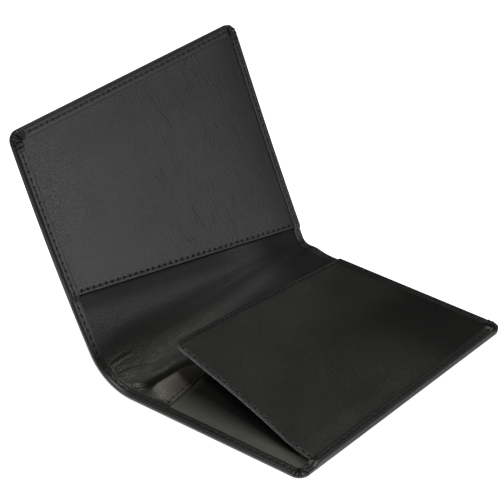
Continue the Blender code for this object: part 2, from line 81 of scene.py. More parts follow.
class Body(str, Enum):
    """Moving bodies of the wallet."""

    RIGHT = "right_cover"
    SPINE = "spine"
    LEFT = "left_cover"
    FLAP = "flap_corner"


class Slot(str, Enum):
    """Material slots of the record."""

    OUTER = "outer_leather"
    POCKET = "pocket_leather"
    FLAP = "flap_leather"
    LINING = "lining_leather"
    BOARD = "stiffener_board"
    THREAD = "thread"


class Hold(str, Enum):
    """Ways a sheet is held."""

    STRETCHED = "stretched"
    FOLDED = "folded"
    LAID = "laid"


def smooth(x: np.ndarray | float) -> np.ndarray:
    """Soft step from 0 at 0 to 1 at 1."""
    t = np.clip(x, 0.0, 1.0)
    return t * t * (3 - 2 * t)


def fade(x: np.ndarray | float, start: float, full: float) -> np.ndarray:
    """Soft step from 0 where x is start to 1 where x is full, which may lie below start."""
    return smooth((x - start) / (full - start))


def hump(x: np.ndarray | float, width: float) -> np.ndarray:
    """Rounded hump of height 1 at 0, about twice width across."""
    return np.exp(-((x / width) ** 2))


def linear(red: int, green: int, blue: int) -> tuple[float, float, float, float]:
    """Linear colour, with alpha, of a display colour given in 0 to 255.

    Args:
        red: the red channel.
        green: the green channel.
        blue: the blue channel.

    Returns:
        Red, green, blue and alpha, 0 to 1.
    """
    def channel(value: int) -> float:
        """One channel from display to linear light."""
        c = value / 255
        return c / 12.92 if c <= 0.04045 else ((c + 0.055) / 1.055) ** 2.4
    return channel(red), channel(green), channel(blue), 1.0


def steps(first: float, last: float, pitch: float) -> list[float]:
    """Evenly spaced values from first to last, about pitch apart, both ends included."""
    count = max(1, round(abs(last - first) / pitch))
    return [first + (last - first) * k / count for k in range(count + 1)]


@dataclass(frozen=True)
class WalletShape:
    """Sizes that the pieces share, in millimetres and degrees, and the way the wallet bends.

    A pair holds the sizes at the near and at the far edge.
    """

    cover_width: float = 106.0
    cover_height: float = 140.0
    rim_top: float = 3.0
    turn: float = 4.5
    side_tuck: float = 3.3
    seam_inset: float = 2.4
    hem_seam: float = 1.9
    stitch_pitch: float = 3.4
    bend_radius: Pair = (22.25, 5.4)
    bend_angle: Pair = (62.2, 65.1)
    bend_start: Pair = (16.65, 3.7)
    curl: Pair = (5.6, 3.0)
    far_lift: float = 1.5
    far_lean: float = 0.35
    mouth: Pair = (32.7, 7.8)
    hem: Pair = (34.4, 17.1)
    hem_stitches: Pair = (6.8, 132.6)
    out_of_rim: Pair = (3.8, 4.4)
    across_fold: Triple = (-0.755, 0.0155, 0.656)
    blend_reach: Pair = (11.5, 9.5)
    blend_gap: float = 0.3

    def between(self, ends: Pair, v: np.ndarray | float) -> np.ndarray:
        """Value at v of a size given at the near and far edges."""
        return ends[0] + (ends[1] - ends[0]) * np.asarray(v) / self.cover_height

    def inset(self, u: np.ndarray, v: np.ndarray) -> np.ndarray:
        """Distance of a flat place from the nearest edge of the wallet."""
        return np.minimum(np.minimum(v, self.cover_height - v), self.cover_width - np.abs(u))

    def risen(self, inset: np.ndarray) -> np.ndarray:
        """Share of its rise that a sheet has, 0 under the turned edge and 1 clear of it."""
        return fade(inset, *self.out_of_rim)

    def sheet_rows(self, pitch: float) -> np.ndarray:
        """Rows along the spine of a tucked sheet, closer together beside the turned edges.

        Args:
            pitch: distance between rows in the middle.

        Returns:
            Place of each row.
        """
        length = self.cover_height
        return np.array([self.side_tuck] + steps(4.0, 8.0, 0.6) + steps(9.5, length - 9.5, pitch)
                        + steps(length - 8.0, length - 4.0, 0.6) + [length - self.side_tuck])

    def outer_columns(self, insets: tuple[float, ...] = TUCKED_COLUMNS) -> list[float]:
        """Columns of a sheet by its outer edge, where it goes under the turned edge."""
        return [self.cover_width - self.side_tuck - x for x in insets]

    def fold(self, flat: Places) -> Places:
        """Bends flat places in millimetres.

        Args:
            flat: places as rows of u, v, w.

        Returns:
            The same places in the half open wallet, in metres.
        """
        u, v, w = flat[..., 0], flat[..., 1], flat[..., 2]
        radius = self.between(self.bend_radius, v)
        angle = np.radians(self.between(self.bend_angle, v))
        curl = np.radians(self.between(self.curl, v))
        start = self.between(self.bend_start, v)
        past = start - u
        turned = np.clip(past / radius, 0.0, angle)
        x = np.where(past > 0, start - radius * np.sin(turned), u)
        z = np.where(past > 0, self.rim_top + radius * (1 - np.cos(turned)), self.rim_top)
        along = np.maximum(past - radius * angle, 0.0)
        rate = curl / (self.cover_width + start - radius * angle)
        turned = turned + rate * along
        x = x - np.where(along > 0, (np.sin(turned) - np.sin(angle)) / rate, 0.0)
        z = z + np.where(along > 0, (np.cos(angle) - np.cos(turned)) / rate, 0.0)
        lift = self.far_lift * hump(u - 4.6, 5.0) * fade(v, 80, 135)
        x, z = x - self.far_lean * lift, z + lift
        depth = self.rim_top - w
        x = x - depth * np.sin(turned)
        z = z - depth * np.cos(turned)
        return np.stack([x - self.cover_width / 2, v - self.cover_height / 2, z], -1) * MM

    def place(self, u: float, v: float, w: float) -> Vector:
        """Place in the wallet, in metres, of one flat place."""
        return Vector(self.fold(np.array([u, v, w], float)))

    def follow_fold(self, piece: Piece, side: int) -> None:
        """Bakes a piece's transform into its mesh; the piece does not bend with the fold.

        Args:
            piece: the piece, which lies on one side of the middle.
            side: 1 for the right half, -1 for the left half.
        """
        near, far = self.place(0, 0, self.rim_top), self.place(0, self.cover_height, self.rim_top)
        if side > 0:
            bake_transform(piece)
        else:
            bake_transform(piece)


def deselect() -> None:
    """Leaves object mode with nothing selected."""
    if bpy.context.object and bpy.context.object.mode != "OBJECT":
        bpy.ops.object.mode_set(mode="OBJECT")
    bpy.ops.object.select_all(action="DESELECT")


def join(pieces: list[Piece], name: str) -> Piece:
    """Joins pieces into one.

    Args:
        pieces: the pieces, of which the first takes up the rest.
        name: the joined piece's name.

    Returns:
        The joined piece, which is selected.
    """
    deselect()
    for piece in pieces:
        piece.select_set(True)
    bpy.context.view_layer.objects.active = pieces[0]
    bpy.ops.object.join()
    joined = bpy.context.object
    joined.name = joined.data.name = name
    return joined


def coordinates(mesh: bpy.types.Mesh) -> np.ndarray:
    """Vertex places of a mesh as rows of x, y, z.

    Args:
        mesh: the mesh.

    Returns:
        One row for each vertex.
    """
    flat = np.empty(len(mesh.vertices) * 3)
    mesh.vertices.foreach_get("co", flat)
    return flat.reshape(-1, 3)


def put(mesh: bpy.types.Mesh, places: np.ndarray) -> None:
    """Sets the vertex places of a mesh."""
    mesh.vertices.foreach_set("co", np.ascontiguousarray(places, np.float32).ravel())
    mesh.update()


def keep(mesh: bpy.types.Mesh, name: str, values: np.ndarray) -> None:
    """Stores one number, or one vector, for each vertex.

    Args:
        mesh: the mesh.
        name: the attribute's name.
        values: one row for each vertex.
    """
    kind, member = ("FLOAT_VECTOR", "vector") if values.ndim == 2 else ("FLOAT", "value")
    layer = mesh.attributes.new(name, kind, "POINT")
    layer.data.foreach_set(member, np.ascontiguousarray(values, np.float32).ravel())


@dataclass
class LaidSheet:
    """A sheet of leather laid out flat on a grid, in millimetres, with what its finish reads.

    place is the visible face, chart the developed place for the grain, seam the distance along
    and across the nearest seam; the last two are 1 on rubbed edges and painted highlights,
    and 1 where shade is painted into the colour.
    """

    place: np.ndarray
    chart: np.ndarray
    seam: np.ndarray
    wear_and_highlight: np.ndarray
    painted_shade: np.ndarray

    @classmethod
    def on_grid(cls, u: np.ndarray, v: np.ndarray, w: np.ndarray) -> "LaidSheet":
        """A plain sheet through the grid of places, with no seam, wear, painted highlight or
        painted shade yet.

        Args:
            u: flat places across the wallet.
            v: flat places along the spine.
            w: heights of the visible face.

        Returns:
            The sheet.
        """
        flat = np.stack(np.broadcast_arrays(u, v, w), -1)
        none = np.zeros_like(u)
        sheet = cls(flat, flat[..., :2].copy(), flat, none, none.copy())
        sheet.sew_along(0.0, none + NO_SEAM)
        return sheet

    def sew_along(self, along: np.ndarray | float, off: np.ndarray) -> None:
        """Says how far each place lies along and off its nearest seam."""
        self.seam = np.stack(np.broadcast_arrays(along, off, 0.0), -1)

    def flipped(self) -> "LaidSheet":
        """The same sheet with its columns in the opposite order."""
        return LaidSheet(self.place[::-1], self.chart[::-1], self.seam[::-1], self.wear_and_highlight[::-1],
                         self.painted_shade[::-1])

    def build(self, name: str, thickness: float, bend: Bend, face_down: bool = False,
              soften: float = 0.0) -> Piece:
        """Models the sheet: a grid, given its wall, bent into shape and shaded.

        Args:
            name: the piece's name.
            thickness: thickness of the leather, inwards from the visible face.
            bend: takes flat places in millimetres to places in metres.
            face_down: whether the visible face is the grid's underside.
            soften: rounding of the cut edges, in millimetres.

        Returns:
            The finished piece.
        """
        across, along = self.place.shape[:2]
        deselect()
        bpy.ops.mesh.primitive_grid_add(x_subdivisions=across - 1, y_subdivisions=along - 1, size=1)
        piece = bpy.context.object
        mesh = piece.data
        piece.name = mesh.name = name
        grid = coordinates(mesh)
        i = np.rint((grid[:, 0] + 0.5) * (across - 1)).astype(int)
        j = np.rint((grid[:, 1] + 0.5) * (along - 1)).astype(int)
        put(mesh, self.place[i, j])
        for layer in ("seam", "wear_and_highlight", "painted_shade"):
            keep(mesh, layer, getattr(self, layer)[i, j])
        chart = mesh.uv_layers[0] if mesh.uv_layers else mesh.uv_layers.new(name=CHART)
        chart.name = CHART
        corner = np.empty(len(mesh.loops), int)
        mesh.loops.foreach_get("vertex_index", corner)
        at = self.chart[i, j][corner] * MM * CHART_SCALE + CHART_MIDDLE
        chart.data.foreach_set("uv", at.astype(np.float32).ravel())
        if face_down:
            bpy.ops.object.mode_set(mode="EDIT")
            bpy.ops.mesh.select_all(action="SELECT")
            bpy.ops.mesh.flip_normals()
            bpy.ops.object.mode_set(mode="OBJECT")
        wall = piece.modifiers.new("wall", "SOLIDIFY")
        wall.thickness = thickness
        wall.offset = -1.0
        bpy.ops.object.modifier_apply(modifier=wall.name)
        if soften:
            round_over = piece.modifiers.new("rounding", "BEVEL")
            round_over.width = soften
            round_over.segments = 2
            round_over.limit_method = "ANGLE"
            round_over.angle_limit = ROUND_ABOVE
            bpy.ops.object.modifier_apply(modifier=round_over.name)
        put(piece.data, bend(coordinates(piece.data)))
        bpy.ops.object.shade_smooth_by_angle(angle=SMOOTH_BELOW)
        return piece


@dataclass
class SeamPath:
    """A line of sewing through flat corners, with one stitch in each pitch.

    The stitches follow the line, or all lie in one direction where it is given.
    """

    corners: list[Pair]
    pitch: float
    start: float = 0.0
    direction: Pair | None = None

    def stitches(self) -> list[tuple[np.ndarray, np.ndarray]]:
        """Middle and direction of each stitch, in flat millimetres.

        Returns:
            One pair for each stitch, in sewing order.
        """
        found: list[tuple[np.ndarray, np.ndarray]] = []
        for a, b in zip(self.corners, self.corners[1:]):
            first, last = np.array(a, float), np.array(b, float)
            length = float(np.linalg.norm(last - first))
            way = (last - first) / length
            lying = np.array(self.direction) if self.direction else way
            count = int((length - self.start) / self.pitch)
            found += [(first + way * (self.start + (k + 0.5) * self.pitch), lying)
                      for k in range(count)]
        return found


@dataclass(frozen=True)
class ThreadStitch:
    """One sewn stitch: a short length of thread whose ends dive into the leather."""

    length: float = 2.3
    width: float = 0.46
    height: float = 0.12
    dive: float = 0.32

    def model(self) -> Piece:
        """Models the stitch along x, centred on the leather's surface.

        Returns:
            The stitch, in millimetres.
        """
        deselect()
        bpy.ops.mesh.primitive_uv_sphere_add(segments=8, ring_count=7, radius=0.5,
                                             rotation=(0, QUARTER_TURN, 0))
        stitch = bpy.context.object
        bpy.ops.object.transform_apply(location=True, rotation=True, scale=True)
        place = coordinates(stitch.data)
        share = place[:, 0] * 2
        round_off = np.sqrt(np.maximum(1 - share ** 2, 1e-6))
        fuller = np.where(np.abs(share) < 0.999, (1 - share ** 4) ** 0.5 / round_off, 1.0)
        place[:, 0] *= self.length
        place[:, 1] *= self.width * fuller
        place[:, 2] = place[:, 2] * self.height * fuller - self.dive * share ** 4
        put(stitch.data, place)
        return stitch

    def sew(self, name: str, path: SeamPath, surface: Surface, bend: Bend,
            above: float = 1.0) -> Piece:
        """Sews the stitches along a path and joins them into one piece.

        Args:
            name: the piece's name.
            path: where the stitches go.
            surface: height of the leather at a flat place, in millimetres.
            bend: takes flat places in millimetres to places in metres.
            above: 1 on a face that looks up when flat, -1 on the outside of the wallet.

        Returns:
            The finished seam.
        """
        pattern = self.model()
        copies: list[Piece] = []
        for middle, way in path.stitches():
            copy = bpy.data.objects.new(name, pattern.data.copy())
            bpy.context.collection.objects.link(copy)
            local = coordinates(copy.data)
            side = np.array([-way[1], way[0]])
            flat = middle + local[:, :1] * way + local[:, 1:2] * side * above
            height = surface(flat[:, 0], flat[:, 1]) + above * local[:, 2]
            put(copy.data, bend(np.column_stack([flat, height])))
            copies.append(copy)
        bpy.data.objects.remove(pattern)
        seam = join(copies, name)
        bpy.ops.object.shade_smooth()
        return seam

    def sew_hem(self, name: str, shape: WalletShape, edge: Pair, side: int,
                surface: Surface) -> Piece:
        """Sews the seam along a slanting hem.

        Args:
            name: the seam's name.
            shape: the wallet's sizes.
            edge: the hem's distance from the fold line at the near and far edges.
            side: 1 on the right cover, -1 on the left.
            surface: height of the hem's leather.

        Returns:
            The finished seam.
        """
        ends = [(side * float(shape.between(edge, v)) - shape.hem_seam, v)
                for v in shape.hem_stitches]
        return self.sew(name, SeamPath(ends, shape.stitch_pitch), surface, shape.fold)


class Tree:
    """Adds nodes to one node tree and links them."""

    def __init__(self, tree: bpy.types.NodeTree) -> None:
        """Starts on an empty tree.

        Args:
            tree: the node tree, whose nodes are removed.
        """
        self.tree = tree
        tree.nodes.clear()
        self.column = 0

    @classmethod
    def material(cls, name: str) -> tuple[bpy.types.Material, "Tree", Node]:
        """Starts a material.

        Args:
            name: the material's name.

        Returns:
            The material, its nodes and its surface shader.
        """
        made = bpy.data.materials.new(name)
        made.use_nodes = True
        tree = cls(made.node_tree)
        shader = tree.add("ShaderNodeBsdfPrincipled")
        tree.add("ShaderNodeOutputMaterial", {"Surface": shader.outputs[0]})
        return made, tree, shader

    def add(self, kind: str, inputs: dict[str | int, Value] | None = None,
            **settings: object) -> Node:
        """Adds a node.

        Args:
            kind: the node's type.
            inputs: what its inputs are set or linked to, by name or number.
            settings: its settings by name.

        Returns:
            The node.
        """
        node = self.tree.nodes.new(kind)
        self.column += 1
        node.location = (180 * self.column, -60 * (self.column % 5))
        for name, value in settings.items():
            setattr(node, name, value)
        self.feed(node, inputs or {})
        return node

    def feed(self, node: Node, inputs: dict[str | int, Value]) -> None:
        """Links outputs to a node's inputs, or sets the inputs to values.

        Args:
            node: the node.
            inputs: a value or an output for each input, by name or number.
        """
        for name, value in inputs.items():
            if isinstance(value, Socket):
                self.tree.links.new(value, node.inputs[name])
            else:
                node.inputs[name].default_value = value

    def math(self, operation: str, *values: Value, clamp: bool = False) -> Socket:
        """Adds a Math node of an operation on values, kept from 0 to 1 if clamped."""
        return self.add("ShaderNodeMath", dict(enumerate(values)), operation=operation,
                        use_clamp=clamp).outputs[0]

    def product(self, first: Value, *others: Value) -> Value:
        """Multiplies numbers and outputs.

        Args:
            first: the first factor.
            others: the other factors.

        Returns:
            The product.
        """
        for other in others:
            first = self.math("MULTIPLY", first, other)
        return first

    def ramp(self, value: Socket, low: Value, high: Value, to_low: Value = 0.0,
             to_high: Value = 1.0) -> Socket:
        """Maps a value smoothly from low..high to to_low..to_high.

        Args:
            value: the value.
            low: where the step begins.
            high: where the step ends.
            to_low: result at low.
            to_high: result at high.

        Returns:
            The mapped value.
        """
        ends = {"Value": value, "From Min": low, "From Max": high, "To Min": to_low,
                "To Max": to_high}
        return self.add("ShaderNodeMapRange", ends, interpolation_type="SMOOTHSTEP").outputs[0]

    def mix(self, share: Value, first: Value, second: Value) -> Socket:
        """Mixes two colours by a share, each a value or an output."""
        return self.add("ShaderNodeMix", {0: share, 6: first, 7: second},
                        data_type="RGBA").outputs[2]

    def stretched(self, vector: Socket, scale: Triple = (1.0, 1.0, 1.0),
                  shift: Triple = (0.0, 0.0, 0.0)) -> Socket:
        """Scales a vector by axis, then shifts it."""
        return self.add("ShaderNodeMapping", {"Vector": vector, "Scale": scale,
                                              "Location": shift}).outputs["Vector"]

    def length(self, vector: Socket) -> Socket:
        """Length of a vector."""
        return self.add("ShaderNodeVectorMath", {0: vector}, operation="LENGTH").outputs["Value"]

    def split(self, vector: Socket) -> tuple[Socket, Socket]:
        """First and second part of a vector."""
        node = self.add("ShaderNodeSeparateXYZ", {0: vector})
        return node.outputs["X"], node.outputs["Y"]

    def noise(self, vector: Socket, scale: float, detail: float, rough: float = 0.5,
              output: str = "Fac") -> Socket:
        """Noise from 0 to 1 at a scale, as a value or as a colour."""
        return self.add("ShaderNodeTexNoise", {"Vector": vector, "Scale": scale, "Detail": detail,
                                               "Roughness": rough}).outputs[output]

    def cell_edges(self, vector: Socket, warp: Socket, shift: Triple) -> Socket:
        """Distance from the nearest cell edge, on a plane warped by a noise colour.

        Args:
            vector: place in units of a cell.
            warp: the noise's colour.
            shift: how far the noise moves a place, by axis.

        Returns:
            The distance.
        """
        moved = self.add("ShaderNodeVectorMath", {0: warp, 1: shift, 2: vector},
                         operation="MULTIPLY_ADD")
        cells = self.add("ShaderNodeTexVoronoi", {"Vector": moved.outputs[0], "Scale": 1.0},
                         feature="DISTANCE_TO_EDGE", voronoi_dimensions="2D")
        return cells.outputs["Distance"]

    def bump(self, height: Socket, distance: float) -> Socket:
        """Normal of a surface raised by height times distance, in metres."""
        return self.add("ShaderNodeBump", {"Strength": 1.0, "Distance": distance,
                                           "Height": height}).outputs["Normal"]


class GroupKind(Enum):
    """Effects that several finishes share."""

    GRAIN = "leather_grain"
    MOTTLE = "soft_mottle"
    HOLES = "seam_holes"
    CREASES = "fine_creases"


class Effects:
    """Builds each shared effect once, as a node group, and places it in materials."""

    made: dict[GroupKind, bpy.types.NodeTree] = {}

    @classmethod
    def start(cls, kind: GroupKind, vector: str, numbers: dict[str, float],
              outputs: tuple[str, ...]) -> tuple[Tree, Node, Node]:
        """Makes an empty group with named sockets.

        Args:
            kind: the effect.
            vector: name of its vector input.
            numbers: default value of each of its number inputs, by name.
            outputs: names of its outputs, each one number.

        Returns:
            The group's tree, its input node and its output node.
        """
        group = bpy.data.node_groups.new(kind.value, "ShaderNodeTree")
        group.interface.new_socket(vector, in_out="INPUT", socket_type="NodeSocketVector")
        for name, default in numbers.items():
            made = group.interface.new_socket(name, in_out="INPUT", socket_type="NodeSocketFloat")
            made.default_value = default
        for name in outputs:
            group.interface.new_socket(name, in_out="OUTPUT", socket_type="NodeSocketFloat")
        cls.made[kind] = group
        tree = Tree(group)
        return tree, tree.add("NodeGroupInput"), tree.add("NodeGroupOutput")

    @staticmethod
    def scaled(tree: Tree, given: Node, size: str) -> Socket:
        """The group's vector in units of one of its sizes.

        Args:
            tree: the group's nodes.
            given: the group's input node.
            size: the size's name.

        Returns:
            The scaled vector.
        """
        share = tree.math("DIVIDE", 1.0, given.outputs[size])
        return tree.add("ShaderNodeVectorMath", {0: given.outputs["Vector"], "Scale": share},
                        operation="SCALE").outputs[0]

    @classmethod
    def grain(cls) -> None:
        """Pebbled grain: small rounded cells with fine noise over them, in millimetres."""
        tree, given, out = cls.start(GroupKind.GRAIN, "Vector", {"Cell": 0.6}, ("Height", "Pits"))
        scaled = cls.scaled(tree, given, "Cell")
        warp = tree.noise(scaled, scale=0.7, detail=2.0, output="Color")
        edges = tree.cell_edges(scaled, warp, (0.6, 0.6, 0.0))
        dome, fine = tree.ramp(edges, 0.0, 0.32), tree.noise(scaled, scale=3.1, detail=2.0)
        height = tree.math("ADD", tree.product(dome, 0.75), tree.product(fine, 0.25))
        tree.feed(out, {"Height": height, "Pits": tree.ramp(edges, 0.02, 0.12, 1.0, 0.0)})

    @classmethod
    def mottle(cls) -> None:
        """Broad soft unevenness of colour and gloss."""
        tree, given, out = cls.start(GroupKind.MOTTLE, "Vector", {"Patch": 20.0},
                                     ("Broad", "Small"))
        scaled = cls.scaled(tree, given, "Patch")
        broad = tree.noise(scaled, scale=1.0, detail=2.0, rough=0.4)
        small = tree.noise(scaled, scale=5.5, detail=3.0, rough=0.55)
        tree.feed(out, {"Broad": tree.ramp(broad, 0.3, 0.7), "Small": tree.ramp(small, 0.3, 0.7)})

    @classmethod
    def holes(cls) -> None:
        """Needle holes at each pitch along a seam, and the puckered groove that they lie in."""
        tree, given, out = cls.start(GroupKind.HOLES, "Seam",
                                     {"Pitch": 3.4, "Length": 0.62, "Width": 0.5},
                                     ("Mask", "Height"))
        along, off = tree.split(given.outputs["Seam"])
        off = tree.math("ABSOLUTE", off)
        turns = tree.math("DIVIDE", along, given.outputs["Pitch"])
        near = tree.math("ABSOLUTE", tree.math("SUBTRACT", turns, tree.math("ROUND", turns)))
        away = tree.product(near, given.outputs["Pitch"])
        long = tree.math("DIVIDE", away, given.outputs["Length"])
        wide = tree.math("DIVIDE", off, given.outputs["Width"])
        reach = tree.math("SQRT", tree.math("ADD", tree.product(long, long),
                                            tree.product(wide, wide)))
        hole = tree.ramp(reach, 0.65, 1.15, 1.0, 0.0)
        pucker = tree.product(tree.ramp(off, 0.1, 1.1, 1.0, 0.0),
                              tree.ramp(near, 0.0, 0.5, -0.2, 0.05))
        tree.feed(out, {"Mask": hole, "Height": tree.math("SUBTRACT", pucker, hole)})

    @classmethod
    def creases(cls) -> None:
        """Fine crackle of the skin: long narrow cells along x, parted by thin wavy lines."""
        tree, given, out = cls.start(GroupKind.CREASES, "Vector", {"Cell": 3.0, "Width": 0.07},
                                     ("Lines",))
        scaled = cls.scaled(tree, given, "Cell")
        long = tree.stretched(scaled, (0.3, 1.0, 1.0))
        warp = tree.noise(scaled, scale=0.8, detail=3.0, output="Color")
        edges = tree.cell_edges(long, warp, (0.4, 0.7, 0.0))
        gaps = tree.ramp(tree.noise(scaled, scale=0.45, detail=2.0), 0.34, 0.56)
        line = tree.ramp(edges, 0.0, given.outputs["Width"], 1.0, 0.0)
        tree.feed(out, {"Lines": tree.product(line, gaps)})

    @classmethod
    def place(cls, tree: Tree, kind: GroupKind, **inputs: Value) -> Node:
        """Places an effect in a material.

        Args:
            tree: the material's nodes.
            kind: the effect.
            inputs: a value or an output for each input.

        Returns:
            The effect's node.
        """
        if not cls.made:
            for make in (cls.grain, cls.mottle, cls.holes, cls.creases):
                make()
        return tree.add("ShaderNodeGroup", inputs, node_tree=cls.made[kind])


@dataclass(frozen=True)
class CreaseZone:
    """Fine creases over part of a sheet: sizes and limits in flat millimetres.

    u_fade and v_fade hold where the creases begin, are full, begin to fade and end.
    """

    depth: float
    cell: float
    width: float
    along_spine: bool
    u_fade: tuple[float, float, float, float]
    v_fade: tuple[float, float, float, float]
    # dark is how much shade is painted into the crease lines.
    dark: float
    stretch: float

    def lines(self, tree: Tree, flat: Socket) -> Socket:
        """Adds the creases to a material.

        Args:
            tree: the material's nodes.
            flat: flat place in millimetres.

        Returns:
            Strength of the creases, 0 to 1.
        """
        u, v = tree.split(flat)
        along, across = (v, u) if self.along_spine else (u, v)
        place = tree.add("ShaderNodeCombineXYZ", {"X": tree.math("DIVIDE", along, self.stretch),
                                                  "Y": across})
        found = Effects.place(tree, GroupKind.CREASES, Vector=place.outputs[0], Cell=self.cell,
                              Width=self.width)
        strength = found.outputs["Lines"]
        for axis, (begin, full, ease, end) in ((u, self.u_fade), (v, self.v_fade)):
            strength = tree.product(strength, tree.ramp(axis, begin, full),
                                    tree.ramp(axis, ease, end, 1.0, 0.0))
        return strength


@dataclass(frozen=True)
class PolishAndPaintedLight:
    """Browner, glossier leather where it is often folded, its colour also lightened there as
    painted light, and a pale painted highlight beside its hem.

    The pairs hold where each begins and is full, in flat millimetres.
    """

    colour: Colour
    hem_highlight: Colour
    u_fade: Pair
    hem_fade: Pair
    v_fade: Pair
    rim_fade: Pair
    specular: float = 0.68
    hem_dulling: float = 0.3
    gloss: float = 0.05

    def over(self, tree: Tree, flat: Socket, base: Socket) -> tuple[Socket, Socket, Socket]:
        """Adds the polish and its painted light to a material.

        Args:
            tree: the material's nodes.
            flat: flat place in millimetres.
            base: the leather's colour.

        Returns:
            The colour with the polish and painted highlight, how polished it is, and how strong the
            painted highlight by its hem is, 0 to 1.
        """
        u, v = tree.split(flat)
        nearby = tree.ramp(v, *self.v_fade)
        shine = tree.product(tree.ramp(u, *self.u_fade), nearby)
        # Painted highlight beside the hem, where a raised facet of the lining catches the light.
        hem = tree.product(tree.ramp(u, *self.hem_fade), nearby, tree.ramp(v, *self.rim_fade))
        polished_and_lit = tree.mix(hem, linear(*self.colour), linear(*self.hem_highlight))
        return tree.mix(shine, base, polished_and_lit), shine, hem


@dataclass(frozen=True)
class LeatherFinish:
    """Smooth black leather: two colours that mingle, gloss, grain, needle holes, creases, painted
    shade and painted highlights.
    """

    name: str
    colour: Colour
    second: Colour
    roughness: float
    grain_depth: float = 0.022
    holes: float = 0.9
    pits: float = 0.28
    specular: float = 0.5
    creases: CreaseZone | None = None
    polish_and_light: PolishAndPaintedLight | None = None
    grain_cell: float = 0.9
    patch: float = 24.0
    rough_spread: float = 0.012
    hole_depth: float = 0.35
    uneven: float = 0.006
    rubbed_and_lit_share: Pair = (0.06, 0.2)
    rubbed_and_lit: Colour = (92, 90, 84)
    deepest: Colour = (6, 6, 6)
    painted_shade_strength: float = 0.9
    dark_specular: float = 0.15
    dark_roughness: float = 0.4

    def material(self) -> bpy.types.Material:
        """Makes the finish's material.

        Returns:
            The material. It reads the flat chart, the sheet's seam, its edge wear and painted
            highlight, and its painted shade.
        """
        made, tree, shader = Tree.material(self.name)
        size, shift = 1 / (MM * CHART_SCALE), -CHART_MIDDLE / (MM * CHART_SCALE)
        flat = tree.stretched(tree.add("ShaderNodeUVMap", uv_map=CHART).outputs["UV"],
                              (size, size, size), (shift, shift, 0.0))
        seam, wear_and_highlight, painted_shade = (tree.add("ShaderNodeAttribute", attribute_name=name).outputs
                              for name in ("seam", "wear_and_highlight", "painted_shade"))
        grain = Effects.place(tree, GroupKind.GRAIN, Vector=flat, Cell=self.grain_cell).outputs
        mottle = Effects.place(tree, GroupKind.MOTTLE, Vector=flat, Patch=self.patch).outputs
        holes = Effects.place(tree, GroupKind.HOLES, Seam=seam["Vector"]).outputs
        base = tree.mix(mottle["Broad"], linear(*self.colour), linear(*self.second))
        shine, mirror = None, self.specular
        if self.polish_and_light:
            base, shine, hem = self.polish_and_light.over(tree, flat, base)
            mirror = tree.math("SUBTRACT",
                               tree.ramp(shine, 0.0, 1.0, self.specular, self.polish_and_light.specular),
                               tree.product(hem, self.polish_and_light.hem_dulling))
        # Pale colour on rubbed edges and painted highlights, read from the sheet's attribute.
        rubbed_and_lit = tree.product(wear_and_highlight["Fac"], tree.ramp(mottle["Small"], 0.0, 1.0, *self.rubbed_and_lit_share))
        base = tree.mix(rubbed_and_lit, base, linear(*self.rubbed_and_lit))
        # Painted shade: the sheet's painted shade attribute and the needle holes darken the colour
        # and dull the gloss, as do the grain's pits.
        dark = tree.math("MAXIMUM", tree.product(holes["Mask"], self.holes),
                         tree.product(painted_shade["Fac"], self.painted_shade_strength))
        dark = tree.math("MAXIMUM", dark, tree.product(grain["Pits"], self.pits))
        height = tree.product(grain["Height"], self.grain_depth)
        height = tree.math("ADD", height, tree.product(holes["Height"], self.hole_depth))
        height = tree.math("ADD", height, tree.product(mottle["Small"], self.uneven))
        if self.creases:
            lines = self.creases.lines(tree, flat)
            # Painted shade in the crease lines.
            dark = tree.math("MAXIMUM", dark, tree.product(lines, self.creases.dark))
            height = tree.math("SUBTRACT", height, tree.product(lines, self.creases.depth))
        dull = tree.ramp(dark, 0.0, 1.0, 1.0, self.dark_specular)
        rough = tree.ramp(mottle["Small"], 0.0, 1.0, self.roughness - self.rough_spread,
                          self.roughness + self.rough_spread)
        rough = tree.math("ADD", rough, tree.product(dark, self.dark_roughness), clamp=True)
        if self.polish_and_light:
            rough = tree.math("SUBTRACT", rough, tree.product(shine, self.polish_and_light.gloss))
        tree.feed(shader, {"Base Color": tree.mix(dark, base, linear(*self.deepest)),
                           "Specular IOR Level": tree.product(dull, mirror),
                           "Roughness": rough, "Normal": tree.bump(height, MM)})
        return made


@dataclass(frozen=True)
class FibreFinish:
    """Fibres over a dark ground: waxed thread, or pressed board."""

    name: str
    colour: Colour
    fibre: Colour
    scale: float
    detail: float
    stretch: Triple
    roughness: Pair
    specular: float
    depth: float
    contrast: Pair | None = None

    def material(self) -> bpy.types.Material:
        """Makes the finish's material.

        Returns:
            The material. It reads the place on the object.
        """
        made, tree, shader = Tree.material(self.name)
        place = tree.add("ShaderNodeTexCoord").outputs["Object"]
        noise = tree.noise(tree.stretched(place, self.stretch), self.scale, self.detail)
        fibres = tree.ramp(noise, *self.contrast) if self.contrast else noise
        tree.feed(shader, {"Base Color": tree.mix(fibres, linear(*self.colour),
                                                  linear(*self.fibre)),
                           "Roughness": tree.ramp(noise, 0.3, 0.7, *self.roughness),
                           "Specular IOR Level": self.specular,
                           "Normal": tree.bump(fibres, self.depth * MM)})
        return made


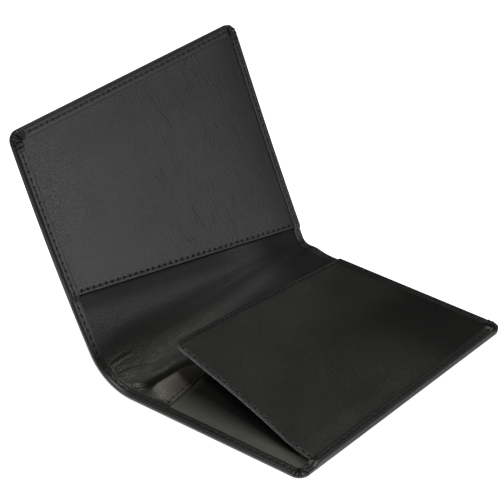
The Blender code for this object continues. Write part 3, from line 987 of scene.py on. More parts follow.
@dataclass(frozen=True)
class Finishes:
    """The wallet's finishes, each made once."""

    outer: bpy.types.Material
    pocket: bpy.types.Material
    flap: bpy.types.Material
    lining: bpy.types.Material
    backing: bpy.types.Material
    strip: bpy.types.Material
    thread: bpy.types.Material
    board: bpy.types.Material

    @classmethod
    def make(cls) -> "Finishes":
        """Makes every finish.

        Returns:
            The finishes.
        """
        crackle = CreaseZone(depth=0.05, cell=2.4, width=0.08, along_spine=False, dark=0.3,
                             stretch=3.4, u_fade=(-110, -104, -20, -10),
                             v_fade=(30, 80, 130, 140))
        wrinkles = CreaseZone(depth=0.09, cell=1.0, width=0.4, along_spine=True, dark=0.2,
                              stretch=1.9, u_fade=(-12, -2, 12, 17), v_fade=(-5, -4, 26, 62))
        # The fold is browner and lightened as painted light, with a pale painted highlight beside
        # the hem; both fade out towards the far end, and the highlight fades near the near rim.
        polish_and_light = PolishAndPaintedLight((40, 39, 36), (102, 98, 89), u_fade=(-16, -2), hem_fade=(21, 24),
                        v_fade=(95, 28), rim_fade=(4.5, 10))
        return cls(
            outer=LeatherFinish("turned_edge_leather", (28, 28, 28), (36, 35, 34), 0.34,
                                holes=0.55).material(),
            pocket=LeatherFinish("slip_pocket_leather", (30, 30, 31), (35, 35, 36), 0.30,
                                 grain_depth=0.04, creases=crackle).material(),
            flap=LeatherFinish("flap_leather", (26, 26, 25), (34, 34, 32), 0.36,
                               grain_depth=0.08, holes=0.7, pits=0.6).material(),
            lining=LeatherFinish("base_lining_leather", (74, 73, 68), (84, 83, 76), 0.5,
                                 grain_depth=0.05).material(),
            # The flap lining's pale blue-grey is a painted highlight, standing in for the floor's
            # reflection along its edge.
            backing=LeatherFinish("flap_lining_painted_highlight", (122, 126, 132), (134, 138, 144),
                                  0.45).material(),
            strip=LeatherFinish("strip_lining_leather", (24, 24, 25), (30, 30, 31), 0.39,
                                grain_depth=0.075, pits=0.6, specular=0.72, creases=wrinkles,
                                polish_and_light=polish_and_light).material(),
            thread=FibreFinish("waxed_thread", (18, 18, 18), (28, 28, 27), scale=3600.0,
                               detail=2.0, stretch=(1.0, 1.0, 1.0), roughness=(0.55, 0.7),
                               specular=0.25, depth=0.05, contrast=(0.35, 0.65)).material(),
            board=FibreFinish("fibre_board", (96, 92, 86), (128, 122, 112), scale=1400.0,
                              detail=4.0, stretch=(1.0, 0.25, 1.0), roughness=(0.75, 0.95),
                              specular=0.5, depth=0.1).material(),
        )


def dress(piece: Piece, finish: bpy.types.Material) -> None:
    """Gives a piece its finish.

    Args:
        piece: the piece.
        finish: its material.
    """
    piece.data.materials.clear()
    piece.data.materials.append(finish)


def turn_in_corner(last: int, i: int, j: int) -> float:
    """How far round a rounded corner a grid point lies.

    Args:
        last: number of rings round the corner's centre.
        i: the point's ring from the first edge.
        j: the point's ring from the second edge.

    Returns:
        The angle from the second edge's direction, 0 to a quarter turn.
    """
    ring = min(i, j)
    turned = last - i if j == ring else last - ring + j - ring
    return QUARTER_TURN * turned / (2 * (last - ring))


@dataclass
class OuterCover:
    """The outer leather, one piece round the whole wallet, with its turned and sewn edge.

    Each pleat has its distance from the middle of the corner, its strength and its width.
    """

    shape: WalletShape
    leather: float = 0.6
    corner: float = 4.9
    top_round: float = 1.0
    foot_round: float = 0.6
    top_fall: float = 0.1
    groove: float = 0.06
    under_groove: float = 0.24
    thin_rim: float = 1.0
    thin_from: float = 0.4
    thin_reach: float = 2.4
    flap_end: float = 18.6
    flap_near_edge: float = 11.5
    corner_arc: float = 4.0
    pleat_depth: float = 0.65
    pleat_swell: float = 0.12
    pleat_shift: float = 0.35
    pleat_reach: Pair = (3.6, 6.8)
    pleat_foot: Pair = (0.3, 1.7)
    pleat_rings: float = 0.72
    pleat_shade: float = 1.15
    side_pleat: float = 0.75
    side_swell: float = 0.5
    far_right_bulge: float = 6.0
    # Where the pale band of edge wear and painted highlight lies on the rim's side and on the
    # pleats' swellings.
    rubbed_and_lit_level: Pair = (2.0, 0.6)
    rubbed_and_lit_inset: float = 0.9
    rubbed_and_lit_folds: float = 0.1
    pleats: tuple[Triple, ...] = (
        (-6.6, 0.30, 0.30), (-5.2, 0.60, 0.34), (-3.7, 0.85, 0.36), (-2.3, 1.00, 0.34),
        (-0.8, 0.80, 0.36), (0.5, 1.00, 0.36), (1.9, 0.80, 0.34), (3.2, 0.90, 0.36),
        (4.9, 0.50, 0.32),
    )
    top_insets: tuple[float, ...] = (4.5, 4.4, 4.15, 3.8, 3.4, 3.05, 2.8, 2.6, 2.4, 2.2, 2.0,
                                     1.75, 1.5, 1.25, 1.0)
    under_insets: tuple[float, ...] = (1.1, 1.6, 2.0, 2.2, 2.4, 2.6, 2.8, 3.3, 4.1)

    def profile(self) -> tuple[np.ndarray, np.ndarray, np.ndarray]:
        """Section of the turned edge, from its free edge round the rim to the underside.

        Returns:
            Inset from the wallet's edge, height and distance along the leather, each by ring.
        """
        points = [(x, self.top_height(x)) for x in self.top_insets]
        low = points[-1][1] - self.top_round
        for a in (math.radians(18 * k) for k in range(1, 6)):
            points.append((self.top_round * (1 - math.sin(a)),
                           low + self.top_round * math.cos(a)))
        for a in (math.radians(22.5 * k) for k in range(0, 5)):
            points.append((self.foot_round * (1 - math.cos(a)),
                           self.foot_round * (1 - math.sin(a))))
        points += [(x, self.foot_relief(x)) for x in self.under_insets]
        inset, height = np.array(points).T
        last = math.hypot(self.corner - inset[-1], height[-1])
        run = np.hypot(np.diff(inset), np.diff(height))
        from_centre = np.concatenate([np.cumsum(run[::-1])[::-1] + last, [last]])
        return inset, height, from_centre

    def top_height(self, inset: float) -> float:
        """Height of the rim's top: it falls outwards, dips at the seam and ends thin.

        Args:
            inset: distance from the wallet's edge.

        Returns:
            The height, in millimetres.
        """
        fall = self.top_fall * max((self.shape.turn - inset) / 3.5, 0.0) ** 2
        seam = self.groove * hump(inset - self.shape.seam_inset, 0.3)
        return float(self.shape.rim_top - fall + 0.02 * hump(inset - 1.6, 0.5) - seam
                     - 0.04 * fade(inset, 3.6, self.shape.turn))

    def foot_relief(self, inset: float) -> float:
        """Height of the underside: a groove for the seam, and a hollow before the board."""
        seam = self.under_groove * hump(inset - self.shape.seam_inset, 0.36)
        return float(seam + 0.16 * hump(inset - 5.7, 0.9))

    def gathered(self, run: float, number: int) -> Pair:
        """Folds of the leather gathered round a corner.

        Args:
            run: distance along the rim from the corner's middle.
            number: which corner, 1 being the right cover's far corner.

        Returns:
            Depth of the crease there, and swelling between creases, in units of their sizes.
        """
        depth = 0.0
        for k, (place, strength, width) in enumerate(self.pleats):
            shift = self.pleat_shift * math.sin(2.3 * k + 1.9 * number)
            share = strength * (0.8 + 0.2 * math.cos(1.7 * k + 2.0 * number))
            depth = max(depth, share * float(hump(run - place - shift, width)))
        near = 1 - float(fade(abs(run), *self.pleat_reach))
        return depth, near * (1 - depth) * (self.far_right_bulge if number == 1 else 1.0)

    def columns(self) -> list[float]:
        """Distances of the columns from the fold line, up to where the corners begin.

        Returns:
            The distances, from the fold line outwards.
        """
        edge = self.shape.cover_width - self.corner
        return (FOLD_COLUMNS + steps(0.6, 6.0, 0.6) + steps(6.8, 24.0, 0.82)
                + steps(26.0, edge - 6.5, 2.0) + steps(edge - 5.2, edge, 0.4))

    def rows(self) -> list[float]:
        """Places of the rows along the spine between the corners.

        Returns:
            The places, from near to far.
        """
        low, high = self.corner, self.shape.cover_height - self.corner
        return (steps(low, low + 5.2, 0.4) + steps(low + 6.5, high - 6.5, 2.0)
                + steps(high - 5.2, high, 0.4))

    def rim_drop(self, u: np.ndarray, v: np.ndarray) -> np.ndarray:
        """How far the rim sinks where no pocket lies under it, in millimetres.

        Args:
            u: flat places across the wallet.
            v: flat places along the spine.

        Returns:
            Drop of each place.
        """
        flap = np.where(v > self.shape.cover_height / 2, self.flap_end, np.inf)
        past_mouth = fade(u + self.shape.between(self.shape.mouth, v), -0.2, 1.0)
        before_flap = fade(u - flap, 0.2, -1.0)
        beside_flap = fade(v, self.flap_near_edge, self.flap_near_edge - 2.5)
        return self.thin_rim * past_mouth * before_flap * np.where(u > 60, beside_flap, 1.0)

    def half(self, side: int) -> LaidSheet:
        """Lays out one half of the leather, with rings that run round its edge.

        Args:
            side: 1 for the half over the right cover, -1 for the left.

        Returns:
            The flat sheet, its columns in the order of u.
        """
        inset_k, height_k, run_k = self.profile()
        rings = len(inset_k)
        across, rows = self.columns(), self.rows()
        width, length, centre = self.shape.cover_width, self.shape.cover_height, self.corner
        arc = QUARTER_TURN * self.corner_arc
        n_i, n_j = len(across) + rings, len(rows) + 2 * rings
        place, seam = np.zeros((n_i, n_j, 3)), np.zeros((n_i, n_j, 3))
        chart, wear_and_highlight, painted_shade = np.zeros((n_i, n_j, 2)), np.zeros((n_i, n_j)), np.zeros((n_i, n_j))
        for i, j in np.ndindex(n_i, n_j):
            far = j >= n_j - rings
            ring_i = rings if i < len(across) else n_i - 1 - i
            ring_j = j if j < rings else (n_j - 1 - j if far else rings)
            column = across[i] if i < len(across) else width - centre
            row = rows[j - rings] if ring_j == rings else (length - centre if far else centre)
            ring = min(ring_i, ring_j)
            if ring == rings:
                level = self.foot_relief(min(row, length - row, width - column))
                place[i, j], chart[i, j] = (column, row, level), (column, row)
                seam[i, j, 1] = NO_SEAM
                continue
            inset, height, radius = inset_k[ring], height_k[ring], centre - inset_k[ring]
            angle = turn_in_corner(rings, ring_i, ring_j)
            along, run = side * column, (angle / QUARTER_TURN - 0.5) * arc
            if ring_i == rings:
                angle, run = 0.0, -arc / 2 - (width - centre - column)
            elif ring_j == rings:
                angle, along = QUARTER_TURN, row
                run = arc / 2 + min(row - centre, length - centre - row)
            depth, swell = self.gathered(run, (0 if side > 0 else 2) + int(row > length / 2))
            shown = float(fade(height, *self.pleat_foot)) * (ring < rings * self.pleat_rings)
            if inset > self.top_round * 0.9 and shown:
                height += shown * (self.pleat_swell * swell - self.pleat_depth * depth)
            else:
                radius += shown * (self.side_swell * self.pleat_swell * swell
                                   - self.side_pleat * self.pleat_depth * depth)
            out = np.array([math.sin(angle), (1 if far else -1) * math.cos(angle)])
            place[i, j, :2], place[i, j, 2] = (column, row) + radius * out, height
            chart[i, j] = (column, row) + run_k[ring] * out
            cornered = ring_i < rings and ring_j < rings
            seam[i, j, :2] = along, NO_SEAM if cornered else inset - self.shape.seam_inset
            # Painted shade in the pleats' creases; a pale band on the rim's side and on the
            # swellings between pleats, partly edge wear and partly painted highlight.
            painted_shade[i, j] = min(1.0, self.pleat_shade * depth * shown)
            rubbed_and_lit = hump(height_k[ring] - self.rubbed_and_lit_level[0], self.rubbed_and_lit_level[1])
            wear_and_highlight[i, j] = max(float(rubbed_and_lit * hump(inset, self.rubbed_and_lit_inset)),
                             self.rubbed_and_lit_folds * min(swell, 1.0) * shown)
        place[..., 0] *= side
        chart[..., 0] *= side
        share = np.clip((place[..., 2] - self.thin_from) / self.thin_reach, 0, 1)
        place[..., 2] -= self.rim_drop(place[..., 0], place[..., 1]) * share
        sheet = LaidSheet(place, chart, seam, wear_and_highlight, painted_shade)
        return sheet if side > 0 else sheet.flipped()

    def seam_surface(self, u: np.ndarray, v: np.ndarray) -> np.ndarray:
        """Height of the rim's top at the seam."""
        level = self.top_height(self.shape.seam_inset)
        return level - self.rim_drop(u, v) * (level - self.thin_from) / self.thin_reach

    def foot_surface(self, u: np.ndarray, v: np.ndarray) -> np.ndarray:
        """Height of the underside at the seam."""
        return np.full_like(u, self.under_groove)

    def seam_paths(self, side: int) -> list[SeamPath]:
        """The seam round one cover: near edge, outer edge and far edge, between the corners.

        Args:
            side: 1 for the right cover, -1 for the left.

        Returns:
            Three lines of sewing.
        """
        width, length = self.shape.cover_width, self.shape.cover_height
        line, pitch, clear = self.shape.seam_inset, self.shape.stitch_pitch, self.corner + 1.5
        last = side * (math.floor((width - clear) / pitch) * pitch + 0.01)
        first_v = math.ceil(clear / pitch) * pitch
        last_v = math.floor((length - clear) / pitch) * pitch + 0.01
        outer = side * (width - line)
        return [SeamPath([(0.0, line), (last, line)], pitch),
                SeamPath([(outer, first_v), (outer, last_v)], pitch),
                SeamPath([(0.0, length - line), (last, length - line)], pitch)]

    def build(self, finishes: Finishes) -> list[Piece]:
        """Models both halves and their sewing, dressed.

        Args:
            finishes: the wallet's finishes.

        Returns:
            The finished pieces.
        """
        pieces: list[Piece] = []
        stitch = ThreadStitch()
        for side, word in ((1, "right"), (-1, "left")):
            leather = self.half(side).build(f"outer_leather_{word}_half", self.leather,
                                            self.shape.fold, face_down=True)
            dress(leather, finishes.outer)
            name = f"edge_stitches_{word}"
            rows = [stitch.sew(name, path, surface, self.shape.fold, above)
                    for path in self.seam_paths(side)
                    for above, surface in ((1.0, self.seam_surface), (-1.0, self.foot_surface))]
            sewing = join(rows, name)
            dress(sewing, finishes.thread)
            for piece in (leather, sewing):
                self.shape.follow_fold(piece, side)
            pieces += [leather, sewing]
        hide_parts("right_outer_leather", "spine_outer_leather")
        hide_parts("left_outer_leather")
        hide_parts("right_edge_thread", "spine_near_thread", "spine_far_thread")
        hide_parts("left_edge_thread")
        return pieces


@dataclass
class InnerLining:
    """The lining from behind the left pocket, across the fold, to its sewn hem.

    Each wrinkle has its depth, its width and the flat places that it runs through. The columns
    by the hem and by the pocket's mouth are given by their distance past those edges.
    """

    shape: WalletShape
    leather: float = 0.4
    under: float = 1.15
    level: float = 2.0
    hem_lift: float = 0.65
    buckle: float = 3.1
    swelling: float = 0.95
    hollow: float = 0.28
    crest: float = 21.7
    crest_slant: float = 0.1
    body_columns: int = 26
    hem_columns: tuple[float, ...] = (-4.0, -3.2, -2.6, -2.25, -1.9, -1.55, -1.2, -0.8, -0.35, 0.0)
    mouth_columns: tuple[float, ...] = (-1.4, -1.0, -0.7, -0.45, -0.25, 0.0, 0.3, 1.0, 4.0, 8.0,
                                        13.0)
    wrinkles: tuple[tuple[float, float, tuple[Pair, ...]], ...] = (
        (0.20, 0.55, ((-5.1, 3.0), (-6.3, 8.4))),
        (0.26, 0.55, ((0.8, 2.3), (0.1, 11.8), (0.7, 20.9))),
        (0.30, 0.55, ((4.8, 2.4), (5.6, 9.2), (6.3, 15.3), (8.0, 17.5))),
        (0.24, 0.55, ((6.9, 14.6), (7.8, 20.5), (8.8, 26.3))),
        (0.70, 0.80, ((13.8, 0.6), (13.7, 6.8), (17.9, 11.5))),
        (0.35, 0.90, ((14.1, 14.5), (15.5, 24.0), (14.3, 32.4))),
    )

    def from_crest(self, u: np.ndarray, v: np.ndarray) -> np.ndarray:
        """Distance past the top of the raised fold beside the hem, towards the hem."""
        return u - (self.crest + self.crest_slant * np.maximum(v - 4, 0))

    def relief(self, u: np.ndarray, v: np.ndarray) -> np.ndarray:
        """Wrinkles and soft hollows of the lining where it is pressed together in the fold.

        Args:
            u: flat places across the wallet.
            v: flat places along the spine.

        Returns:
            Height of each place, in millimetres.
        """
        height = np.zeros_like(u)
        for depth, width, line in self.wrinkles:
            nearest, end = np.full_like(u, 1e3), np.zeros_like(u)
            for (u0, v0), (u1, v1) in zip(line, line[1:]):
                du, dv = u1 - u0, v1 - v0
                t = np.clip(((u - u0) * du + (v - v0) * dv) / (du * du + dv * dv), 0, 1)
                nearest = np.minimum(nearest, np.hypot(u - u0 - t * du, v - v0 - t * dv))
                end = end + t
            strength = depth * smooth(np.minimum(end, len(line) - 1 - end) / 0.45)
            height -= strength * hump(nearest, width)
            height += 0.35 * strength * hump(nearest - 2.2 * width, width)
        mouth = self.shape.between(self.shape.mouth, v)
        loose = self.swelling * hump(u / mouth + 0.5, 0.26) * fade(v, 4, 18) * fade(v, 128, 78)
        tucked = self.hollow * fade(u, -18, -27) * fade(v, 90, 30) * fade(v, 8, 16)
        past = self.from_crest(u, v)
        foot = self.shape.between(self.shape.hem, v) - 2.6
        down = np.clip((foot - u) / (foot - u + past), 0, 1)
        buckle = self.buckle * np.where(past < 0, fade(past, -4.6, 0), down)
        buckle = buckle * fade(v, 2.5, 11.5) * fade(v, 38, 24)
        soft = 0.10 * np.sin(u * 0.55 + 1.3 * np.sin(v * 0.09)) * fade(v, 60, 10)
        return height + loose - tucked + buckle + soft

    def top(self, u: np.ndarray, v: np.ndarray) -> np.ndarray:
        """Height of the lining's visible face, in millimetres.

        Args:
            u: flat places across the wallet.
            v: flat places along the spine.

        Returns:
            Height of each place, in millimetres.
        """
        from_hem = self.shape.between(self.shape.hem, v) - u
        over = self.hem_lift * fade(from_hem, 15, 5)
        inset = self.shape.inset(u, v)
        rise = 0.78 * self.shape.risen(inset) + 0.22 * fade(inset, 4.8, 12.8)
        seam = -0.1 * hump(from_hem - self.shape.hem_seam, 0.5) - 0.1 * fade(from_hem, 0.7, 0)
        raised = (self.level - self.under + over + seam) * rise
        return self.under + raised + self.relief(u, v) * fade(inset, 4.2, 7.2)

    def half(self, side: int) -> LaidSheet:
        """Lays out one half of the lining, from the middle of the fold.

        Args:
            side: 1 for the right half, -1 for the left.

        Returns:
            The flat sheet, its columns in the order of u.
        """
        shape, length = self.shape, self.shape.cover_height
        v = np.array([shape.side_tuck, 4.0] + steps(4.5, 40.0, 0.7)
                     + steps(41.2, length - 8.0, 1.6) + steps(length - 7.2, length - 4.5, 0.7)
                     + [length - 4.0, length - shape.side_tuck])
        if side > 0:
            edge, ends = shape.between(shape.hem, v), self.hem_columns
            fixed = np.array(FOLD_COLUMNS + steps(0.6, 12.0, 0.55))
        else:
            edge, ends = shape.between(shape.mouth, v), self.mouth_columns
            fixed = np.array(FOLD_COLUMNS + steps(0.6, 6.0, 0.6))
        shares = np.linspace(0, 1, self.body_columns + 1)[1:, None]
        away = np.concatenate([np.repeat(fixed[:, None], len(v), 1),
                               fixed[-1] + (edge + ends[0] - fixed[-1]) * shares,
                               edge + np.array(ends[1:])[:, None]])
        u = away if side > 0 else -away[::-1]
        sheet = LaidSheet.on_grid(u, v, self.top(u, v))
        if side > 0:
            sheet.sew_along(v, edge - u - shape.hem_seam)
            # A pale line along the hem's edge.
            sheet.wear_and_highlight = 0.3 * hump(edge - u, 0.5)
            past = self.from_crest(u, v)
            # Painted shade: a dark band in the valley before the raised fold's crest, and painted
            # shadow of the flap past the crest.
            before = fade(past, -11, -6) * fade(past, 0.4, -0.8) * fade(v, 5.5, 11.5) \
                * fade(v, 60, 38)
            behind = 0.9 * fade(past, -3, -1) * fade(v, 18.5, 23) * fade(v, 70, 50)
            sheet.painted_shade = np.maximum(before, behind)
        else:
            from_mouth = -u - edge
            # Painted shade in the hollow below the pocket's mouth, and a dark painted shadow line
            # just under its hem.
            below = 0.5 * fade(from_mouth, -11, -4) * fade(v, 115, 75)
            sheet.painted_shade = np.maximum(below, fade(from_mouth, -0.75, -0.25))
        # Painted shade towards the far end of the fold.
        sheet.painted_shade = np.maximum(sheet.painted_shade, 0.72 * fade(v, 92, 122))
        return sheet

    def build(self, finishes: Finishes) -> list[Piece]:
        """Models both halves and the hem's stitches, dressed, the stitches joined to the right
        cover's body.

        Args:
            finishes: the wallet's finishes.

        Returns:
            The finished pieces.
        """
        pieces: list[Piece] = []
        for side, word, width, area in ((1, "right", 0.036, 0.0036), (-1, "left", 0.047, 0.0045)):
            piece = self.half(side).build(f"inner_lining_{word}_half", self.leather,
                                          self.shape.fold)
            dress(piece, finishes.strip)
            self.shape.follow_fold(piece, side)
            pieces.append(piece)
        sewing = ThreadStitch().sew_hem("lining_hem_stitches", self.shape, self.shape.hem, 1,
                                        self.top)
        dress(sewing, finishes.thread)
        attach(sewing, Body.RIGHT.value)
        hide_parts("inner_lining_right_hem", "inner_lining_spine")
        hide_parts("inner_lining_left")
        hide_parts("inner_lining_hem_thread")
        return [*pieces, sewing]


@dataclass
class SlipPocket:
    """The left cover's pocket, with a folded and sewn hem along its slanting mouth."""

    shape: WalletShape
    leather: float = 0.4
    under: float = 2.1
    level: float = 2.8
    fullness: float = 0.5
    opening: float = 0.3
    fold_radius: float = 0.46
    body_columns: int = 44
    turned_under: tuple[Pair, ...] = ((3.4, -0.95), (1.8, -0.95), (0.7, -0.93))
    hem_columns: tuple[float, ...] = (0.8, 1.2, 1.55, 1.9, 2.25, 2.6, 3.1, 3.8, 5.0)

    def top(self, u: np.ndarray, v: np.ndarray) -> np.ndarray:
        """Height of the pocket's visible face, in millimetres.

        Args:
            u: flat places across the wallet.
            v: flat places along the spine.

        Returns:
            Height of each place, in millimetres.
        """
        turn, length, width = self.shape.turn, self.shape.cover_height, self.shape.cover_width
        from_hem = -u - self.shape.between(self.shape.mouth, v)
        rise = self.shape.risen(self.shape.inset(u, v))
        full = (fade(v, turn, turn + 22) * fade(length - v, turn, turn + 26)
                * fade(width + u, turn, turn + 22) * fade(from_hem, -4, 14))
        seam = -0.08 * hump(from_hem - self.shape.hem_seam, 0.5) + 0.05 * hump(from_hem - 0.9, 0.6)
        middle = np.clip(1 - ((v - length / 2) / 66) ** 2, 0, 1)
        opened = self.opening * middle * fade(from_hem, 9, 0)
        soft = 0.07 * np.sin(-u * 0.11 + 0.8) * np.sin(v * 0.075 + 0.4) * full
        swell = self.level - self.under + seam + opened + soft + self.fullness * full
        return self.under + swell * rise

    def sheet(self) -> LaidSheet:
        """Lays out the pocket, its hem folded under along the mouth.

        Returns:
            The flat sheet, its columns in the order of u.
        """
        v, edge = self.shape.sheet_rows(2.0), self.shape.outer_columns()
        mouth, radius = self.shape.between(self.shape.mouth, v), self.fold_radius
        nose = [(radius - radius * math.cos(a), -radius + radius * math.sin(a))
                for a in (math.radians(degrees) for degrees in (-60, -30, 0, 30, 60, 90))]
        hem = np.array([*self.turned_under, *nose, *((x, 0.0) for x in self.hem_columns)])
        last = self.hem_columns[-1]
        d = np.array([np.full(len(v), x) for x in hem[:, 0]]
                     + [last + (edge[0] - mouth - last) * share
                        for share in np.linspace(0, 1, self.body_columns + 2)[1:-1]]
                     + [x - mouth for x in edge])
        drop = np.concatenate([hem[:, 1], np.zeros(len(d) - len(hem))])[:, None]
        sheet = LaidSheet.on_grid(-(mouth + d), v,
                                  self.top(-(mouth + np.maximum(d, radius)), v) + drop)
        shown = drop >= -radius
        sheet.sew_along(v, np.where(shown, d - self.shape.hem_seam, NO_SEAM))
        # A pale line along the hem's fold; painted shade under the folded-under hem and towards the
        # far rim.
        sheet.wear_and_highlight = 0.4 * hump(d - 0.6, 0.35) * shown
        sheet.painted_shade = np.where(drop < -0.2, 1.0, 0.45 * fade(v, 110, 137))
        return sheet.flipped()

    def build(self, finishes: Finishes) -> list[Piece]:
        """Models the pocket and its stitches, dressed.

        Args:
            finishes: the wallet's finishes.

        Returns:
            The finished pieces.
        """
        panel = self.sheet().build("slip_pocket_panel", self.leather, self.shape.fold)
        dress(panel, finishes.pocket)
        sewing = ThreadStitch().sew_hem("pocket_hem_stitches", self.shape, self.shape.mouth, -1,
                                        self.top)
        dress(sewing, finishes.thread)
        for piece in (panel, sewing):
            self.shape.follow_fold(piece, -1)
        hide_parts("left_pocket_leather")
        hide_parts("left_pocket_hem_thread")
        return [panel, sewing]


@dataclass
class BaseLining:
    """The right cover's lining below the flap pocket."""

    shape: WalletShape
    leather: float = 0.4
    under: float = 1.15
    overlap: float = 6.0
    body_columns: int = 39
    edge_columns: tuple[float, ...] = (6.0, 5.0, 4.2, 3.6, 3.0, 2.4, 1.8, 1.2, 0.6, 0.0)

    def top(self, u: np.ndarray, v: np.ndarray) -> np.ndarray:
        """Height of the lining's visible face, in millimetres.

        Args:
            u: flat places across the wallet.
            v: flat places along the spine.

        Returns:
            Height of each place, in millimetres.
        """
        inset = self.shape.inset(u, v)
        soft = 0.06 * np.sin(u * 0.13) * np.sin(v * 0.1 + 1) * fade(inset, 5, 17)
        return (self.under + 0.66 * self.shape.risen(inset)
                + (0.19 + soft) * fade(inset, 4.8, 13.8))

    def build(self, finishes: Finishes) -> list[Piece]:
        """Models the lining, dressed and riding on the right cover.

        Args:
            finishes: the wallet's finishes.

        Returns:
            The finished piece.
        """
        v, edge = self.shape.sheet_rows(2.2), self.shape.outer_columns(self.edge_columns)
        start = self.shape.between(self.shape.hem, v) - self.overlap
        body = np.linspace(0, 1, self.body_columns + 1)[:-1]
        u = np.array([start + (edge[0] - start) * share for share in body]
                     + [np.full(len(v), x) for x in edge])
        sheet = LaidSheet.on_grid(u, v, self.top(u, v))
        # Painted shadow of the flap: darker past a slanting line under the flap's near edge.
        sheet.painted_shade = 0.85 * fade(v + 0.295 * u, 33.5, 40.5)
        lining = sheet.build("base_lining_panel", self.leather, self.shape.fold)
        dress(lining, finishes.lining)
        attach(lining, Body.RIGHT.value)
        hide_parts("right_base_lining")
        return [lining]


